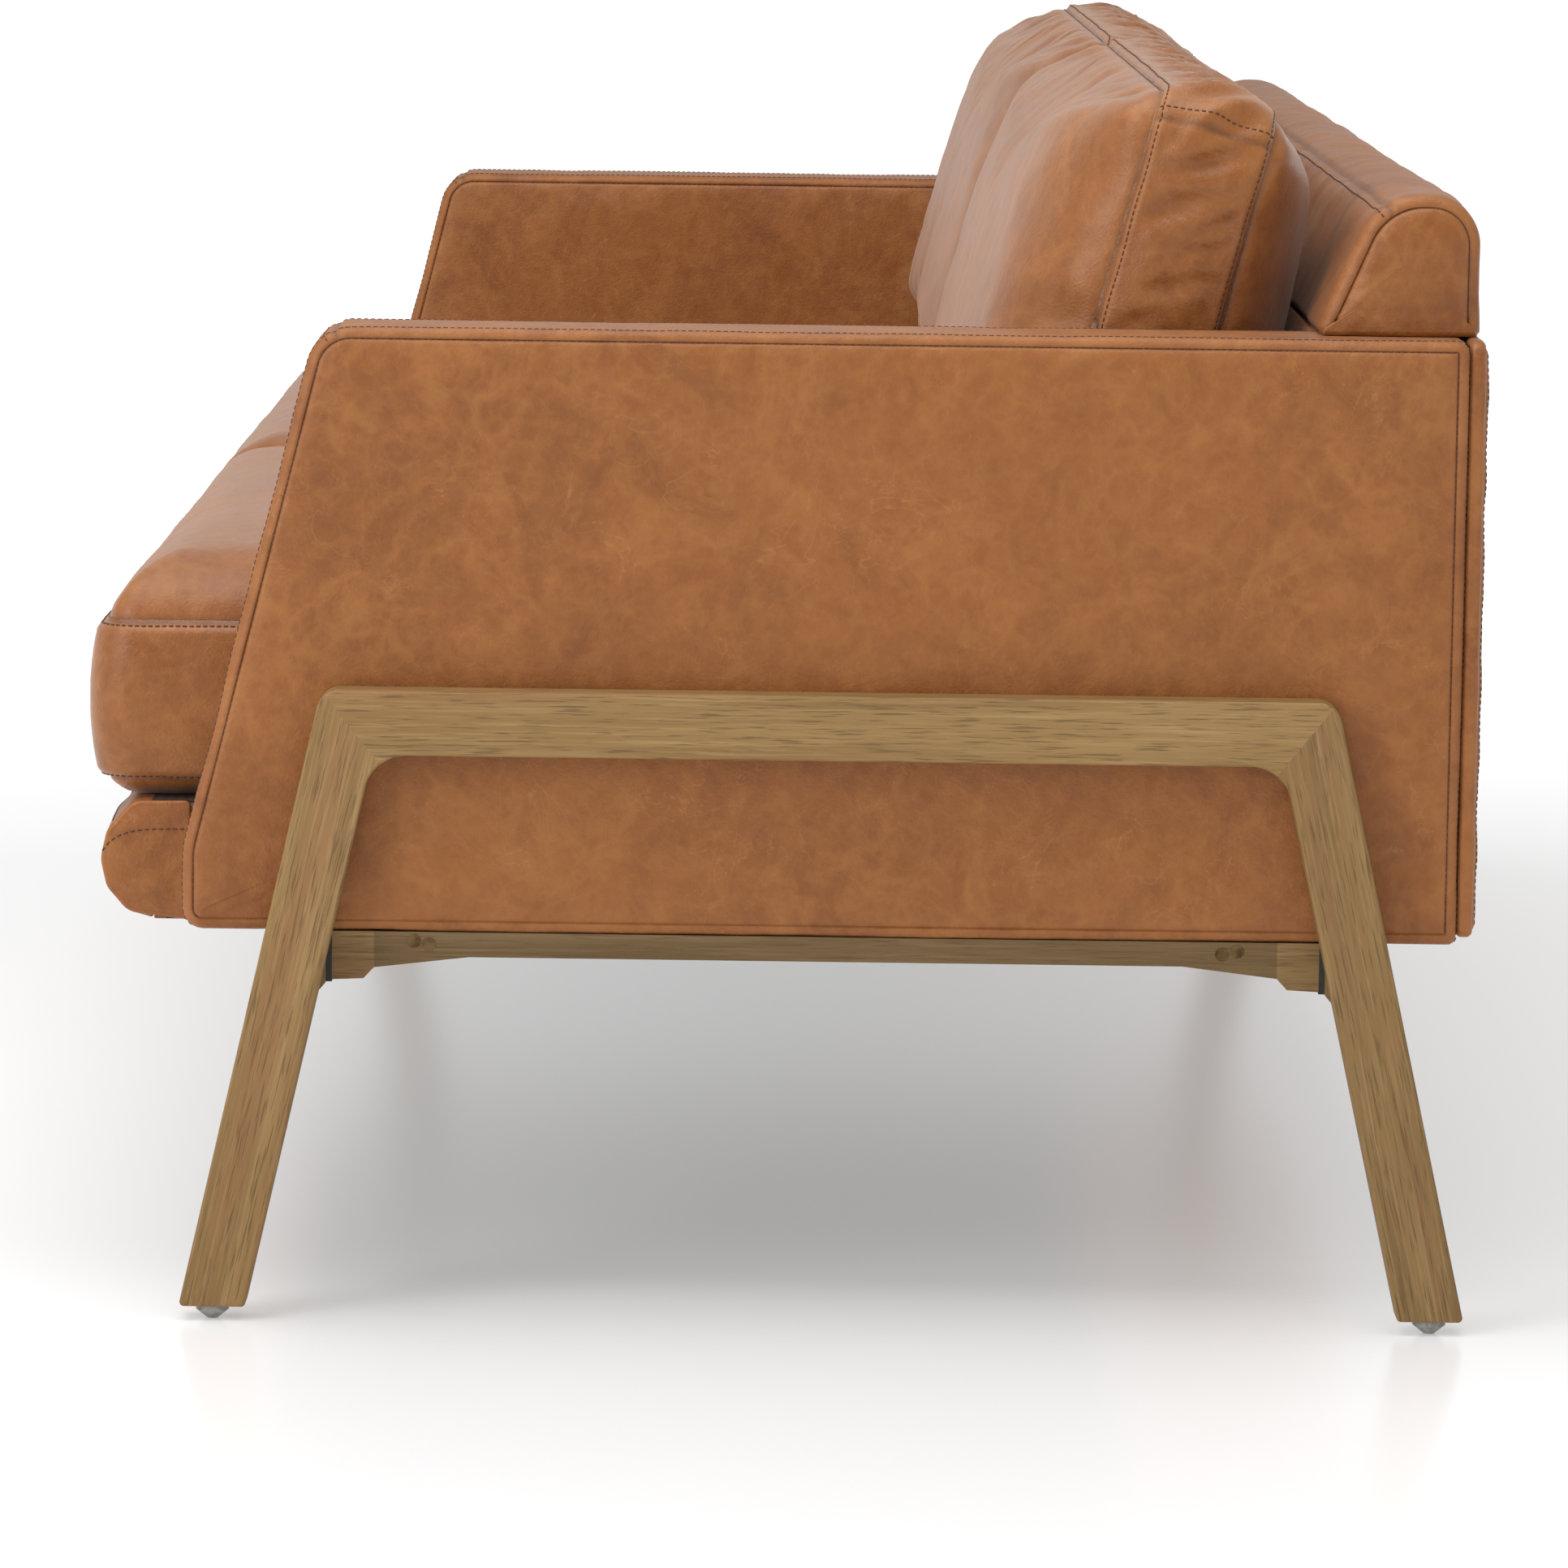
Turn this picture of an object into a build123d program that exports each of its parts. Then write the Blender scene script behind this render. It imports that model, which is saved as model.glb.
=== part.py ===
from build123d import *
import math
import os

# Two-seat leather sofa carried between two splayed timber leg frames.
# Origin on the floor, midway across the width and the depth.  Millimetres.
# +X is the sitter's left, -Y the front, +Z up.

# ---- driving dimensions: overall --------------------------------------------------------------
sofa_width = 2134  # over the outer faces of the leg frames
sofa_depth = 929  # front of the seat cushions to the outside back
body_underside = 258  # floor to the underside of the arms

# ---- driving dimensions: timber leg frames and stretchers --------------------------------------
leg_frame_thickness = 28
leg_width = 44  # measured level, across the splayed leg
leg_rail_height = 43
leg_rail_top = 423
leg_splay = 12.6  # degrees out of upright
leg_corner_radius = 15
leg_inner_radius = 28
leg_arris = 2
foot_corner_radius = 3
foot_front_setback = 1  # foot behind the front of the arm
foot_rear_setback = 3  # foot in front of the outside back
tenon_length, tenon_width, tenon_thickness = 28, 18, 8
glide_radius, glide_tip_radius, glide_height, glide_rim = 11, 3.5, 9.5, 3.5
glide_nail_radius, glide_nail_length = 2.5, 20
stretcher_width = 48
stretcher_thickness = 16.5
stretcher_stand_in = 6  # stretcher face behind the arm's outer face
gusset_thickness = 20
gusset_drop = 7.5  # wide end of the gusset below the stretcher
gusset_length = 63
end_block_length = 28
end_block_drop = 16
spacer_thickness = 4
spacer_drop = 34  # below the arm
block_overhang = 3  # mounting block past the leg's inner edge
block_drop = 54
bolt_radius, bolt_head_radius, bolt_head_height = 4, 7.5, 5
screw_radius, screw_head_radius, screw_head_height, screw_length = 2, 4.6, 3, 32
screw_spacing = 10

# ---- driving dimensions: upholstered body -------------------------------------------------------
arm_thickness = 90
arm_rise = 402  # arm underside to arm top
arm_setback = 71  # arm front behind the cushion front
arm_rake = 87  # how far the arm front leans back
arm_heel = 54  # upright part of the arm front
arm_front_rounding, arm_heel_rounding, arm_crown_rounding = 16, 60, 30
arm_rear_rounding = 8
arm_edge_rounding = 4  # along the arm's long edges
leather = 2
padding = 12
timber = 45  # section of the arm timbers
seat_frame_rise = 75  # arm underside to the deck
rail_thickness = 28
lip_depth = 36  # padding in front of the front rail
lip_setback = 8
lip_under = 6  # padding below the arms' undersides
lip_return = 30  # run of the padding under the front rail
back_base_depth = 183
back_rise = 496
back_lean = 23.6  # degrees
back_lean_start = 137  # above the deck
back_front_rounding, back_rear_rounding, back_hip_rounding = 22, 14, 60
back_wing = 51  # the back reaches out over each arm
back_padding = 14
back_post_thickness = 30
back_rail_height = 45
outside_back_thickness = 11
outside_back_height = 478
outside_back_inset = 9  # in from the arm's outer face
strap_width, strap_thickness = 60, 2
straps_per_bay = 3
seam_rounding = 5

# ---- driving dimensions: loose cushions ---------------------------------------------------------
seat_cushion_thickness = 172
seat_cushion_rounding = 15
back_cushion_height = 329.4
back_cushion_reach = 157  # front of the cushion ahead of the upright inside back
back_cushion_relief = 10  # where its crown leaves the leaning back
back_cushion_rounding = 12

# ---- driving dimensions: springing --------------------------------------------------------------
wire_radius = 1.8
spring_amplitude, spring_pitch, spring_spacing = 24, 30, 118
clip_length, clip_depth, clip_sheet = 12, 12, 0.6
deck_cloth, deck_pad_thickness = 1.5, 5
dust_cloth = 1.2
corner_block_leg, corner_block_height = 60, 40

# ---- clearances ---------------------------------------------------------------------------------
soft_gap = 0.3  # between a soft piece and what it lies against
wrap_gap = 0.2  # between a cover and its filling
joint_fit = 0.1  # round a tenon, nail, bolt or screw

# ---- derived stations ---------------------------------------------------------------------------
front_y, rear_y = -sofa_depth / 2, sofa_depth / 2
arm_front_y = front_y + arm_setback
arm_rear_y = rear_y - outside_back_thickness - soft_gap
arm_outer_x = sofa_width / 2 - leg_frame_thickness
arm_inner_x = arm_outer_x - arm_thickness
arm_top_z = body_underside + arm_rise
deck_z = body_underside + seat_frame_rise
foot_front_y = arm_front_y + foot_front_setback
foot_rear_y = rear_y - foot_rear_setback
leg_centre_y = (foot_front_y + foot_rear_y) / 2
foot_half = (foot_rear_y - foot_front_y) / 2
splay = math.tan(math.radians(leg_splay))
inside_back_y = arm_rear_y - back_base_depth
lean = math.tan(math.radians(back_lean))
lean_z = deck_z + back_lean_start
back_top_z = body_underside + back_rise

sides = {"left": 1, "right": -1}
ends = {"front": -1, "rear": 1}
os.makedirs("parts", exist_ok=True)


def save(piece, name):
    """Label a finished piece and write it as its own STEP file."""
    piece.part.label = name
    export_step(piece.part, f"parts/{name}.step")


def slab(points, radii, x_from, x_to, inset=0, mode=Mode.ADD):
    """Extrude a round-cornered side outline across the sofa, between two stations of its width.

    The outline is shrunk all round by the inset, and the solid joins or cuts the open part."""
    with BuildSketch(Plane.YZ.offset(x_from)) as side_view:
        with BuildLine():
            FilletPolyline(points, radius=radii, close=True)
        make_face()
        if inset:
            offset(amount=-inset, kind=Kind.INTERSECTION, mode=Mode.REPLACE)
    extrude(side_view.sketch, amount=x_to - x_from, mode=mode)


def bar(x_range, y_range, z_range, mode=Mode.ADD):
    """Add a square-edged bar between three pairs of stations to the open part."""
    (x0, x1), (y0, y1), (z0, z1) = x_range, y_range, z_range
    with Locations(((x0 + x1) / 2, (y0 + y1) / 2, (z0 + z1) / 2)):
        Box(abs(x1 - x0), abs(y1 - y0), abs(z1 - z0), mode=mode)


def rod(start, axis, length, radius, mode=Mode.ADD):
    """Add a round rod that starts at a point and runs along a direction to the open part."""
    with Locations(Plane(origin=start, z_dir=axis).location):
        Cylinder(radius, length, align=(Align.CENTER, Align.CENTER, Align.MIN), mode=mode)


def hex_bolt(start, axis, length):
    """Add a hexagon-headed bolt: its head lies behind the start point, its shank ahead of it."""
    rod(start, axis, length, bolt_radius)
    with BuildSketch(Plane(origin=start, z_dir=axis)) as head:
        RegularPolygon(bolt_head_radius, 6)
    extrude(head.sketch, amount=-bolt_head_height)


# ---- leg frames ---------------------------------------------------------------------------------
# Each end of the sofa has an inverted U of oak: two legs that splay along the depth, mitred to a
# top rail.  A loose tenon crosses each mitre, and the outer arrises are eased.
rail_bottom = leg_rail_top - leg_rail_height
outer_half = foot_half - (leg_rail_top - glide_height) * splay
inner_half = foot_half - leg_width - (rail_bottom - glide_height) * splay
leg_frame_inner_x = arm_outer_x
leg_frame_points = [
    (leg_centre_y - foot_half, glide_height),
    (leg_centre_y - foot_half + leg_width, glide_height),
    (leg_centre_y - inner_half, rail_bottom),
    (leg_centre_y + inner_half, rail_bottom),
    (leg_centre_y + foot_half - leg_width, glide_height),
    (leg_centre_y + foot_half, glide_height),
    (leg_centre_y + outer_half, leg_rail_top),
    (leg_centre_y - outer_half, leg_rail_top),
]
leg_frame_radii = (
    [foot_corner_radius] * 2 + [leg_inner_radius] * 2 + [foot_corner_radius] * 2 + [leg_corner_radius] * 2
)


def mitre_plane(side, end):
    """The glue plane of one corner, facing the rail, centred on the timber."""
    outer = Vector(0, leg_centre_y + end * outer_half, leg_rail_top)
    inner = Vector(0, leg_centre_y + end * inner_half, rail_bottom)
    along = (inner - outer).normalized()
    normal = Vector(0, -end * abs(along.Z), abs(along.Y))
    middle = (outer + inner) / 2 + Vector(side * (leg_frame_inner_x + leg_frame_thickness / 2), 0, 0)
    return Plane(origin=middle, x_dir=(1, 0, 0), z_dir=normal)


def leg_frame_member(side, cuts):
    """One member of a leg frame: the whole frame, cut at the given corners, with its mortises."""
    with BuildPart() as member:
        slab(
            leg_frame_points,
            leg_frame_radii,
            side * leg_frame_inner_x,
            side * (leg_frame_inner_x + leg_frame_thickness),
        )
        fillet(member.faces().filter_by(Axis.X).edges(), radius=leg_arris)
        for end, keep in cuts:
            split(bisect_by=mitre_plane(side, end), keep=keep)
            with Locations(mitre_plane(side, end).location):
                Box(
                    tenon_thickness + 2 * joint_fit,
                    tenon_width + 2 * joint_fit,
                    tenon_length + 2 * joint_fit,
                    mode=Mode.SUBTRACT,
                )
    return member


# Stations of the leg's centre line at any height.
def leg_centre(end, z):
    """Depth station of the middle of a leg at a height."""
    return leg_centre_y + end * (foot_half - leg_width / 2 - (z - glide_height) * splay)


leg_bolt_z = body_underside - spacer_drop / 2
rail_bolt_z = leg_rail_top - leg_rail_height / 2
rail_bolt_ys = [leg_centre_y + end * inner_half / 2 for end in (-1, 1)]
leg_bolt_length = stretcher_width - bolt_head_height + leg_frame_thickness / 2
bolt_seat_x = arm_outer_x - stretcher_width + bolt_head_height

for side_name, side in sides.items():
    for end_name, end in ends.items():
        leg = leg_frame_member(side, [(end, Keep.BOTTOM)])
        glide_x = side * (leg_frame_inner_x + leg_frame_thickness / 2)
        with leg:
            rod(
                (glide_x, leg_centre(end, glide_height), glide_height),
                (0, 0, 1),
                glide_nail_length + joint_fit,
                glide_nail_radius + joint_fit,
                Mode.SUBTRACT,
            )
            rod(
                (side * bolt_seat_x, leg_centre(end, leg_bolt_z), leg_bolt_z),
                (side, 0, 0),
                leg_bolt_length + joint_fit,
                bolt_radius + joint_fit,
                Mode.SUBTRACT,
            )
        save(leg, f"{side_name}_{end_name}_leg")

# The rail's two blind holes take the bolts that hold it to the arm.
rail_bolt_seat_x = arm_outer_x - leather - wrap_gap * 2 - padding - timber / 2
rail_bolt_length = arm_outer_x + leg_frame_thickness * 2 / 3 - rail_bolt_seat_x
for side_name, side in sides.items():
    rail = leg_frame_member(side, [(-1, Keep.TOP), (1, Keep.TOP)])
    with rail:
        for y in rail_bolt_ys:
            rod(
                (side * rail_bolt_seat_x, y, rail_bolt_z),
                (side, 0, 0),
                rail_bolt_length + joint_fit,
                bolt_radius + joint_fit,
                Mode.SUBTRACT,
            )
    save(rail, f"{side_name}_leg_rail")

with BuildPart() as corner_tenons:
    for side in sides.values():
        for end in ends.values():
            with Locations(mitre_plane(side, end).location):
                Box(tenon_thickness, tenon_width, tenon_length)
save(corner_tenons, "corner_tenons")

# ---- floor glides -------------------------------------------------------------------------------
# A nylon glide with a flat tip is nailed up into the end of each leg.
with BuildPart() as floor_glides:
    cone_height = glide_height - glide_rim
    stand = (Align.CENTER, Align.CENTER, Align.MIN)
    for side in sides.values():
        for end in ends.values():
            x = side * (leg_frame_inner_x + leg_frame_thickness / 2)
            y = leg_centre(end, glide_height)
            with Locations((x, y, 0)):
                Cone(glide_tip_radius, glide_radius, cone_height, align=stand)
            rod((x, y, cone_height), (0, 0, 1), glide_rim, glide_radius)
            rod((x, y, glide_height), (0, 0, 1), glide_nail_length, glide_nail_radius)
save(floor_glides, "floor_glides")

# ---- stretchers under the arms ------------------------------------------------------------------
# Behind each leg a mounting block is bolted to the timber.  A rubber spacer, an end block and a
# tapered gusset follow it inwards, and the gusset laps on the long stretcher under the arm.
stretcher_x = arm_outer_x - stretcher_stand_in
stretcher_inner_x = stretcher_x - stretcher_width
gusset_inner_x = stretcher_x - gusset_thickness
spacer_bottom = body_underside - spacer_drop
stretcher_bottom = body_underside - stretcher_thickness
block_edge = foot_half - leg_width - (spacer_bottom - glide_height) * splay - block_overhang
spacer_edge = block_edge - spacer_thickness
end_block_edge = spacer_edge - end_block_length
gusset_edge = end_block_edge - gusset_length


def under_arm(end_points, x_from, x_to, radii=0):
    """The same small block under both ends of both arms, from half-depth and height pairs."""
    with BuildPart() as blocks:
        for side in sides.values():
            for end in ends.values():
                points = [(leg_centre_y + end * half, z) for half, z in end_points]
                slab(points, radii, side * x_from, side * x_to)
    return blocks


block_back = foot_half - leg_width / 2 - (body_underside - block_drop - glide_height) * splay
mounting_blocks = under_arm(
    [
        (block_edge, body_underside),
        (block_edge, spacer_bottom),
        (block_edge + spacer_drop / 2, body_underside - block_drop),
        (block_back + block_overhang, body_underside - block_drop),
        (block_back, body_underside),
    ],
    arm_outer_x - stretcher_width,
    arm_outer_x,
)
with mounting_blocks:
    for side in sides.values():
        for end in ends.values():
            start = (side * bolt_seat_x, leg_centre(end, leg_bolt_z), leg_bolt_z)
            rod(start, (side, 0, 0), leg_bolt_length, bolt_radius + joint_fit, Mode.SUBTRACT)
            rod(start, (-side, 0, 0), bolt_head_height * 2, bolt_head_radius + 1, Mode.SUBTRACT)
save(mounting_blocks, "leg_mounting_blocks")

with BuildPart() as leg_bolts:
    for side in sides.values():
        for end in ends.values():
            start = (side * bolt_seat_x, leg_centre(end, leg_bolt_z), leg_bolt_z)
            hex_bolt(start, (side, 0, 0), leg_bolt_length)
save(leg_bolts, "leg_bolts")

spacers = under_arm(
    [
        (block_edge, body_underside),
        (block_edge, spacer_bottom),
        (spacer_edge, spacer_bottom),
        (spacer_edge, body_underside),
    ],
    arm_outer_x - stretcher_width,
    stretcher_x,
)
save(spacers, "rubber_spacers")

end_block_bottom = stretcher_bottom - end_block_drop
gusset_bottom = stretcher_bottom - gusset_drop
end_blocks = under_arm(
    [
        (spacer_edge, body_underside),
        (spacer_edge, end_block_bottom),
        (end_block_edge + end_block_length / 4, end_block_bottom + 1),
        (end_block_edge, gusset_bottom),
        (end_block_edge, body_underside),
    ],
    stretcher_inner_x,
    stretcher_x,
)
save(end_blocks, "stretcher_end_blocks")

# Two countersunk screws run level through each gusset into the stretcher's lap.
screw_spots = [
    (end_block_edge - gusset_length / 2 - (i - 0.5) * screw_spacing, body_underside - 6 - 2 * i)
    for i in range(2)
]


def gusset_screws(end, side, fit, mode):
    """Add or cut the screws of one gusset."""
    for half, z in screw_spots:
        y = leg_centre_y + end * half
        start, inwards = (side * stretcher_x, y, z), (-side, 0, 0)
        rod(start, inwards, screw_length + fit, screw_radius + fit, mode)
        rod(start, inwards, screw_head_height + fit, screw_head_radius + fit, mode)


gussets = under_arm(
    [
        (end_block_edge, body_underside),
        (end_block_edge, gusset_bottom),
        (gusset_edge, stretcher_bottom),
        (gusset_edge, body_underside),
    ],
    gusset_inner_x,
    stretcher_x,
)
with gussets:
    for side in sides.values():
        for end in ends.values():
            gusset_screws(end, side, joint_fit, Mode.SUBTRACT)
save(gussets, "stretcher_gussets")

with BuildPart() as stretcher_screws:
    for side in sides.values():
        for end in ends.values():
            gusset_screws(end, side, 0, Mode.ADD)
save(stretcher_screws, "stretcher_screws")

for side_name, side in sides.items():
    with BuildPart() as stretcher:
        z_range = (stretcher_bottom, body_underside)
        bar(
            (side * stretcher_inner_x, side * gusset_inner_x),
            (leg_centre_y - end_block_edge, leg_centre_y + end_block_edge),
            z_range,
        )
        bar(
            (side * gusset_inner_x, side * stretcher_x),
            (leg_centre_y - gusset_edge, leg_centre_y + gusset_edge),
            z_range,
        )
        for end in ends.values():
            gusset_screws(end, side, joint_fit, Mode.SUBTRACT)
    save(stretcher, f"{side_name}_stretcher")

# ---- arms ---------------------------------------------------------------------------------------
# Each arm is a timber frame, wrapped in padding and then in a sewn leather cover.  Its front leans
# back with the legs.
arm_points = [
    (arm_front_y, body_underside),
    (arm_front_y, body_underside + arm_heel),
    (arm_front_y + arm_rake, arm_top_z),
    (arm_rear_y, arm_top_z),
    (arm_rear_y, body_underside),
]
underside_rounding = 4
arm_radii = [
    arm_front_rounding,
    arm_heel_rounding,
    arm_crown_rounding,
    arm_rear_rounding,
    underside_rounding,
]
arm_wrap = leather + wrap_gap
arm_core = arm_wrap + padding
arm_timber = arm_core + wrap_gap
timber_x = (arm_inner_x + arm_timber, arm_outer_x - arm_timber)

arm_bolt_z = body_underside + arm_timber + timber / 2
arm_bolt_shares = (0.2, 0.5, 0.8)
arm_bolt_ys = [arm_front_y + share * (inside_back_y - arm_front_y) for share in arm_bolt_shares]
side_rail_x = arm_inner_x - soft_gap - rail_thickness
arm_bolt_length = arm_inner_x + arm_timber + timber * 2 / 3 - side_rail_x


def body_bolts(side, fit, mode):
    """Add or cut the bolts that join the seat frame to one arm, and that arm to its leg rail."""
    for y in arm_bolt_ys:
        start = (side * side_rail_x, y, arm_bolt_z)
        rod(start, (side, 0, 0), arm_bolt_length + fit, bolt_radius + fit, mode)
    for y in rail_bolt_ys:
        start = (side * rail_bolt_seat_x, y, rail_bolt_z)
        rod(start, (side, 0, 0), rail_bolt_length + fit, bolt_radius + fit, mode)


def bolt_head_pockets(side):
    """Cut room for the heads of the leg rail's bolts inside the arm."""
    for y in rail_bolt_ys:
        start = (side * rail_bolt_seat_x, y, rail_bolt_z)
        rod(start, (-side, 0, 0), arm_thickness / 2, bolt_head_radius + 1, Mode.SUBTRACT)


for side_name, side in sides.items():
    with BuildPart() as arm_cover:
        slab(arm_points, arm_radii, side * arm_inner_x, side * arm_outer_x)
        fillet(arm_cover.faces().filter_by(Axis.X).edges(), radius=arm_edge_rounding)
        slab(
            arm_points,
            arm_radii,
            side * (arm_inner_x + leather),
            side * (arm_outer_x - leather),
            leather,
            Mode.SUBTRACT,
        )
        body_bolts(side, joint_fit, Mode.SUBTRACT)
    save(arm_cover, f"{side_name}_arm_cover")

    with BuildPart() as arm_padding:
        slab(
            arm_points,
            arm_radii,
            side * (arm_inner_x + arm_wrap),
            side * (arm_outer_x - arm_wrap),
            arm_wrap,
        )
        slab(
            arm_points,
            arm_radii,
            side * (arm_inner_x + arm_core),
            side * (arm_outer_x - arm_core),
            arm_core,
            Mode.SUBTRACT,
        )
        body_bolts(side, joint_fit, Mode.SUBTRACT)
    save(arm_padding, f"{side_name}_arm_padding")

# The timbers fill the padding's hollow: two posts, with three rails between them.
post_back_y = arm_front_y + arm_timber + timber
timber_floor, timber_top = body_underside + arm_timber, arm_top_z - arm_timber
rake = arm_rake / (arm_rise - arm_heel)


def front_post_edge(z):
    """Depth station of the front post's rear edge at a height."""
    return post_back_y + max(0, z - body_underside - arm_heel) * rake


def arm_rails(z0, z1):
    """A level rail in each arm, cut to the posts."""
    rear = arm_rear_y - arm_timber - timber
    points = [(front_post_edge(z0), z0), (rear, z0), (rear, z1), (front_post_edge(z1), z1)]
    with BuildPart() as rails:
        for side in sides.values():
            slab(points, 0, side * timber_x[0], side * timber_x[1])
    return rails


with BuildPart() as arm_front_posts:
    heel_z = body_underside + arm_heel
    behind_post = [
        (front_post_edge(body_underside), body_underside),
        (front_post_edge(heel_z), heel_z),
        (front_post_edge(arm_top_z), arm_top_z),
        (arm_rear_y, arm_top_z),
        (arm_rear_y, body_underside),
    ]
    for side in sides.values():
        slab(arm_points, arm_radii, side * timber_x[0], side * timber_x[1], arm_timber)
    for side in sides.values():
        slab(behind_post, 0, side * timber_x[0], side * timber_x[1], mode=Mode.SUBTRACT)
save(arm_front_posts, "arm_front_posts")

with BuildPart() as arm_rear_posts:
    rear_edge = arm_rear_y - arm_timber
    for side in sides.values():
        bar(
            (side * timber_x[0], side * timber_x[1]),
            (rear_edge - timber, rear_edge),
            (timber_floor, timber_top),
        )
save(arm_rear_posts, "arm_rear_posts")

save(arm_rails(timber_top - timber, timber_top), "arm_top_rails")

arm_bottom_rails = arm_rails(timber_floor, timber_floor + timber)
arm_middle_rails = arm_rails(rail_bolt_z - timber / 2, rail_bolt_z + timber / 2)
with arm_bottom_rails:
    for side in sides.values():
        body_bolts(side, joint_fit, Mode.SUBTRACT)
with arm_middle_rails:
    for side in sides.values():
        body_bolts(side, joint_fit, Mode.SUBTRACT)
        bolt_head_pockets(side)
save(arm_bottom_rails, "arm_bottom_rails")
save(arm_middle_rails, "arm_middle_rails")

with BuildPart() as leg_rail_bolts:
    for side in sides.values():
        for y in rail_bolt_ys:
            hex_bolt((side * rail_bolt_seat_x, y, rail_bolt_z), (side, 0, 0), rail_bolt_length)
save(leg_rail_bolts, "leg_rail_bolts")

with BuildPart() as arm_bolts:
    for side in sides.values():
        for y in arm_bolt_ys:
            hex_bolt((side * side_rail_x, y, arm_bolt_z), (side, 0, 0), arm_bolt_length)
save(arm_bolts, "arm_bolts")

# ---- seat frame ---------------------------------------------------------------------------------
# A beech box between the arms: front, rear, side and centre rails, with a glued block in each
# corner.  Its underside is closed by a dust cloth.
seat_half = arm_inner_x - soft_gap
pad_floor_z = deck_z - deck_cloth - wrap_gap - deck_pad_thickness
wire_z = pad_floor_z - wrap_gap - clip_sheet - joint_fit - wire_radius
rail_top_z = wire_z - wire_radius - joint_fit
rail_floor_z = body_underside + 4
rail_z = (rail_floor_z, rail_top_z)
lip_front_y = front_y + lip_setback
front_rail_y = (lip_front_y + lip_depth, lip_front_y + lip_depth + rail_thickness)
rear_rail_y = (inside_back_y - soft_gap - rail_thickness, inside_back_y - soft_gap)
between_rails = (front_rail_y[1], rear_rail_y[0])
back_bolt_z = arm_bolt_z
back_bolt_shares = (-0.8, -0.25, 0.25, 0.8)
back_bolt_xs = [share * seat_half for share in back_bolt_shares]
back_wrap = leather + wrap_gap
back_core = back_wrap + back_padding
back_timber = back_core + wrap_gap
back_bolt_length = rail_thickness + soft_gap + back_timber + back_rail_height * 2 / 3


def back_bolt_holes():
    """Cut the clearance holes of the bolts between the seat frame and the back."""
    for x in back_bolt_xs:
        start = (x, rear_rail_y[0], back_bolt_z)
        rod(start, (0, 1, 0), back_bolt_length + joint_fit, bolt_radius + joint_fit, Mode.SUBTRACT)


with BuildPart() as seat_front_rail:
    bar((-seat_half, seat_half), front_rail_y, rail_z)
save(seat_front_rail, "seat_front_rail")

with BuildPart() as seat_rear_rail:
    bar((-seat_half, seat_half), rear_rail_y, rail_z)
    back_bolt_holes()
save(seat_rear_rail, "seat_rear_rail")

for side_name, side in sides.items():
    with BuildPart() as side_rail:
        bar((side * side_rail_x, side * seat_half), between_rails, rail_z)
        body_bolts(side, joint_fit, Mode.SUBTRACT)
    save(side_rail, f"seat_{side_name}_rail")

with BuildPart() as seat_centre_rail:
    bar((-rail_thickness / 2, rail_thickness / 2), between_rails, rail_z)
save(seat_centre_rail, "seat_centre_rail")

with BuildPart() as seat_corner_blocks:
    block_floor_z = (rail_floor_z + rail_top_z - corner_block_height) / 2
    for side in sides.values():
        for y, inward in ((between_rails[0], 1), (between_rails[1], -1)):
            corner_x = side * side_rail_x
            with BuildSketch(Plane.XY.offset(block_floor_z)) as triangle:
                with BuildLine():
                    Polyline(
                        (corner_x, y),
                        (corner_x - side * corner_block_leg, y),
                        (corner_x, y + inward * corner_block_leg),
                        close=True,
                    )
                make_face()
            extrude(amount=corner_block_height)
save(seat_corner_blocks, "seat_corner_blocks")

# ---- springing ----------------------------------------------------------------------------------
# Zigzag springs run from the front rail to the rear rail, each end held by a folded steel clip.
spring_ys = tuple((low + high) / 2 for low, high in (front_rail_y, rear_rail_y))
spring_bars = round((spring_ys[1] - spring_ys[0]) / spring_pitch)
bar_pitch = (spring_ys[1] - spring_ys[0]) / spring_bars
springs_per_side = math.floor((side_rail_x - spring_amplitude) / spring_spacing)
spring_step = side_rail_x / (springs_per_side + 0.5)
spring_xs = [side * (i + 0.5) * spring_step for side in sides.values() for i in range(springs_per_side)]

zigzag = []
for i in range(spring_bars + 1):
    swing = spring_amplitude if i % 2 else -spring_amplitude
    zigzag += [(swing, spring_ys[0] + i * bar_pitch), (-swing, spring_ys[0] + i * bar_pitch)]

with BuildPart() as one_spring:
    with BuildLine(Plane.XY.offset(wire_z)) as wire_path:
        FilletPolyline(zigzag, radius=0.48 * bar_pitch)
    with BuildSketch(wire_path.line ^ 0):
        Circle(wire_radius)
    sweep()

with BuildPart() as seat_springs:
    for x in spring_xs:
        with Locations((x, 0, 0)):
            add(one_spring.part)
save(seat_springs, "seat_springs")

with BuildPart() as spring_clips:
    clip_top_z = pad_floor_z - wrap_gap
    channel = wire_radius + joint_fit
    for x in spring_xs:
        for y in spring_ys:
            half_length, half_depth = clip_length / 2, clip_depth / 2
            along, across = (x - half_length, x + half_length), (y - half_depth, y + half_depth)
            bar(along, across, (rail_top_z, clip_top_z))
    for x in spring_xs:
        for y in spring_ys:
            bar(
                (x - clip_length, x + clip_length),
                (y - channel, y + channel),
                (rail_top_z, wire_z + channel),
                Mode.SUBTRACT,
            )
save(spring_clips, "spring_clips")

deck_y = (front_rail_y[0], rear_rail_y[1])
with BuildPart() as deck_pad:
    bar((-seat_half, seat_half), deck_y, (pad_floor_z, pad_floor_z + deck_pad_thickness))
save(deck_pad, "deck_pad")

with BuildPart() as deck_cover:
    bar((-seat_half, seat_half), deck_y, (deck_z - deck_cloth, deck_z))
save(deck_cover, "deck_cover")

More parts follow.
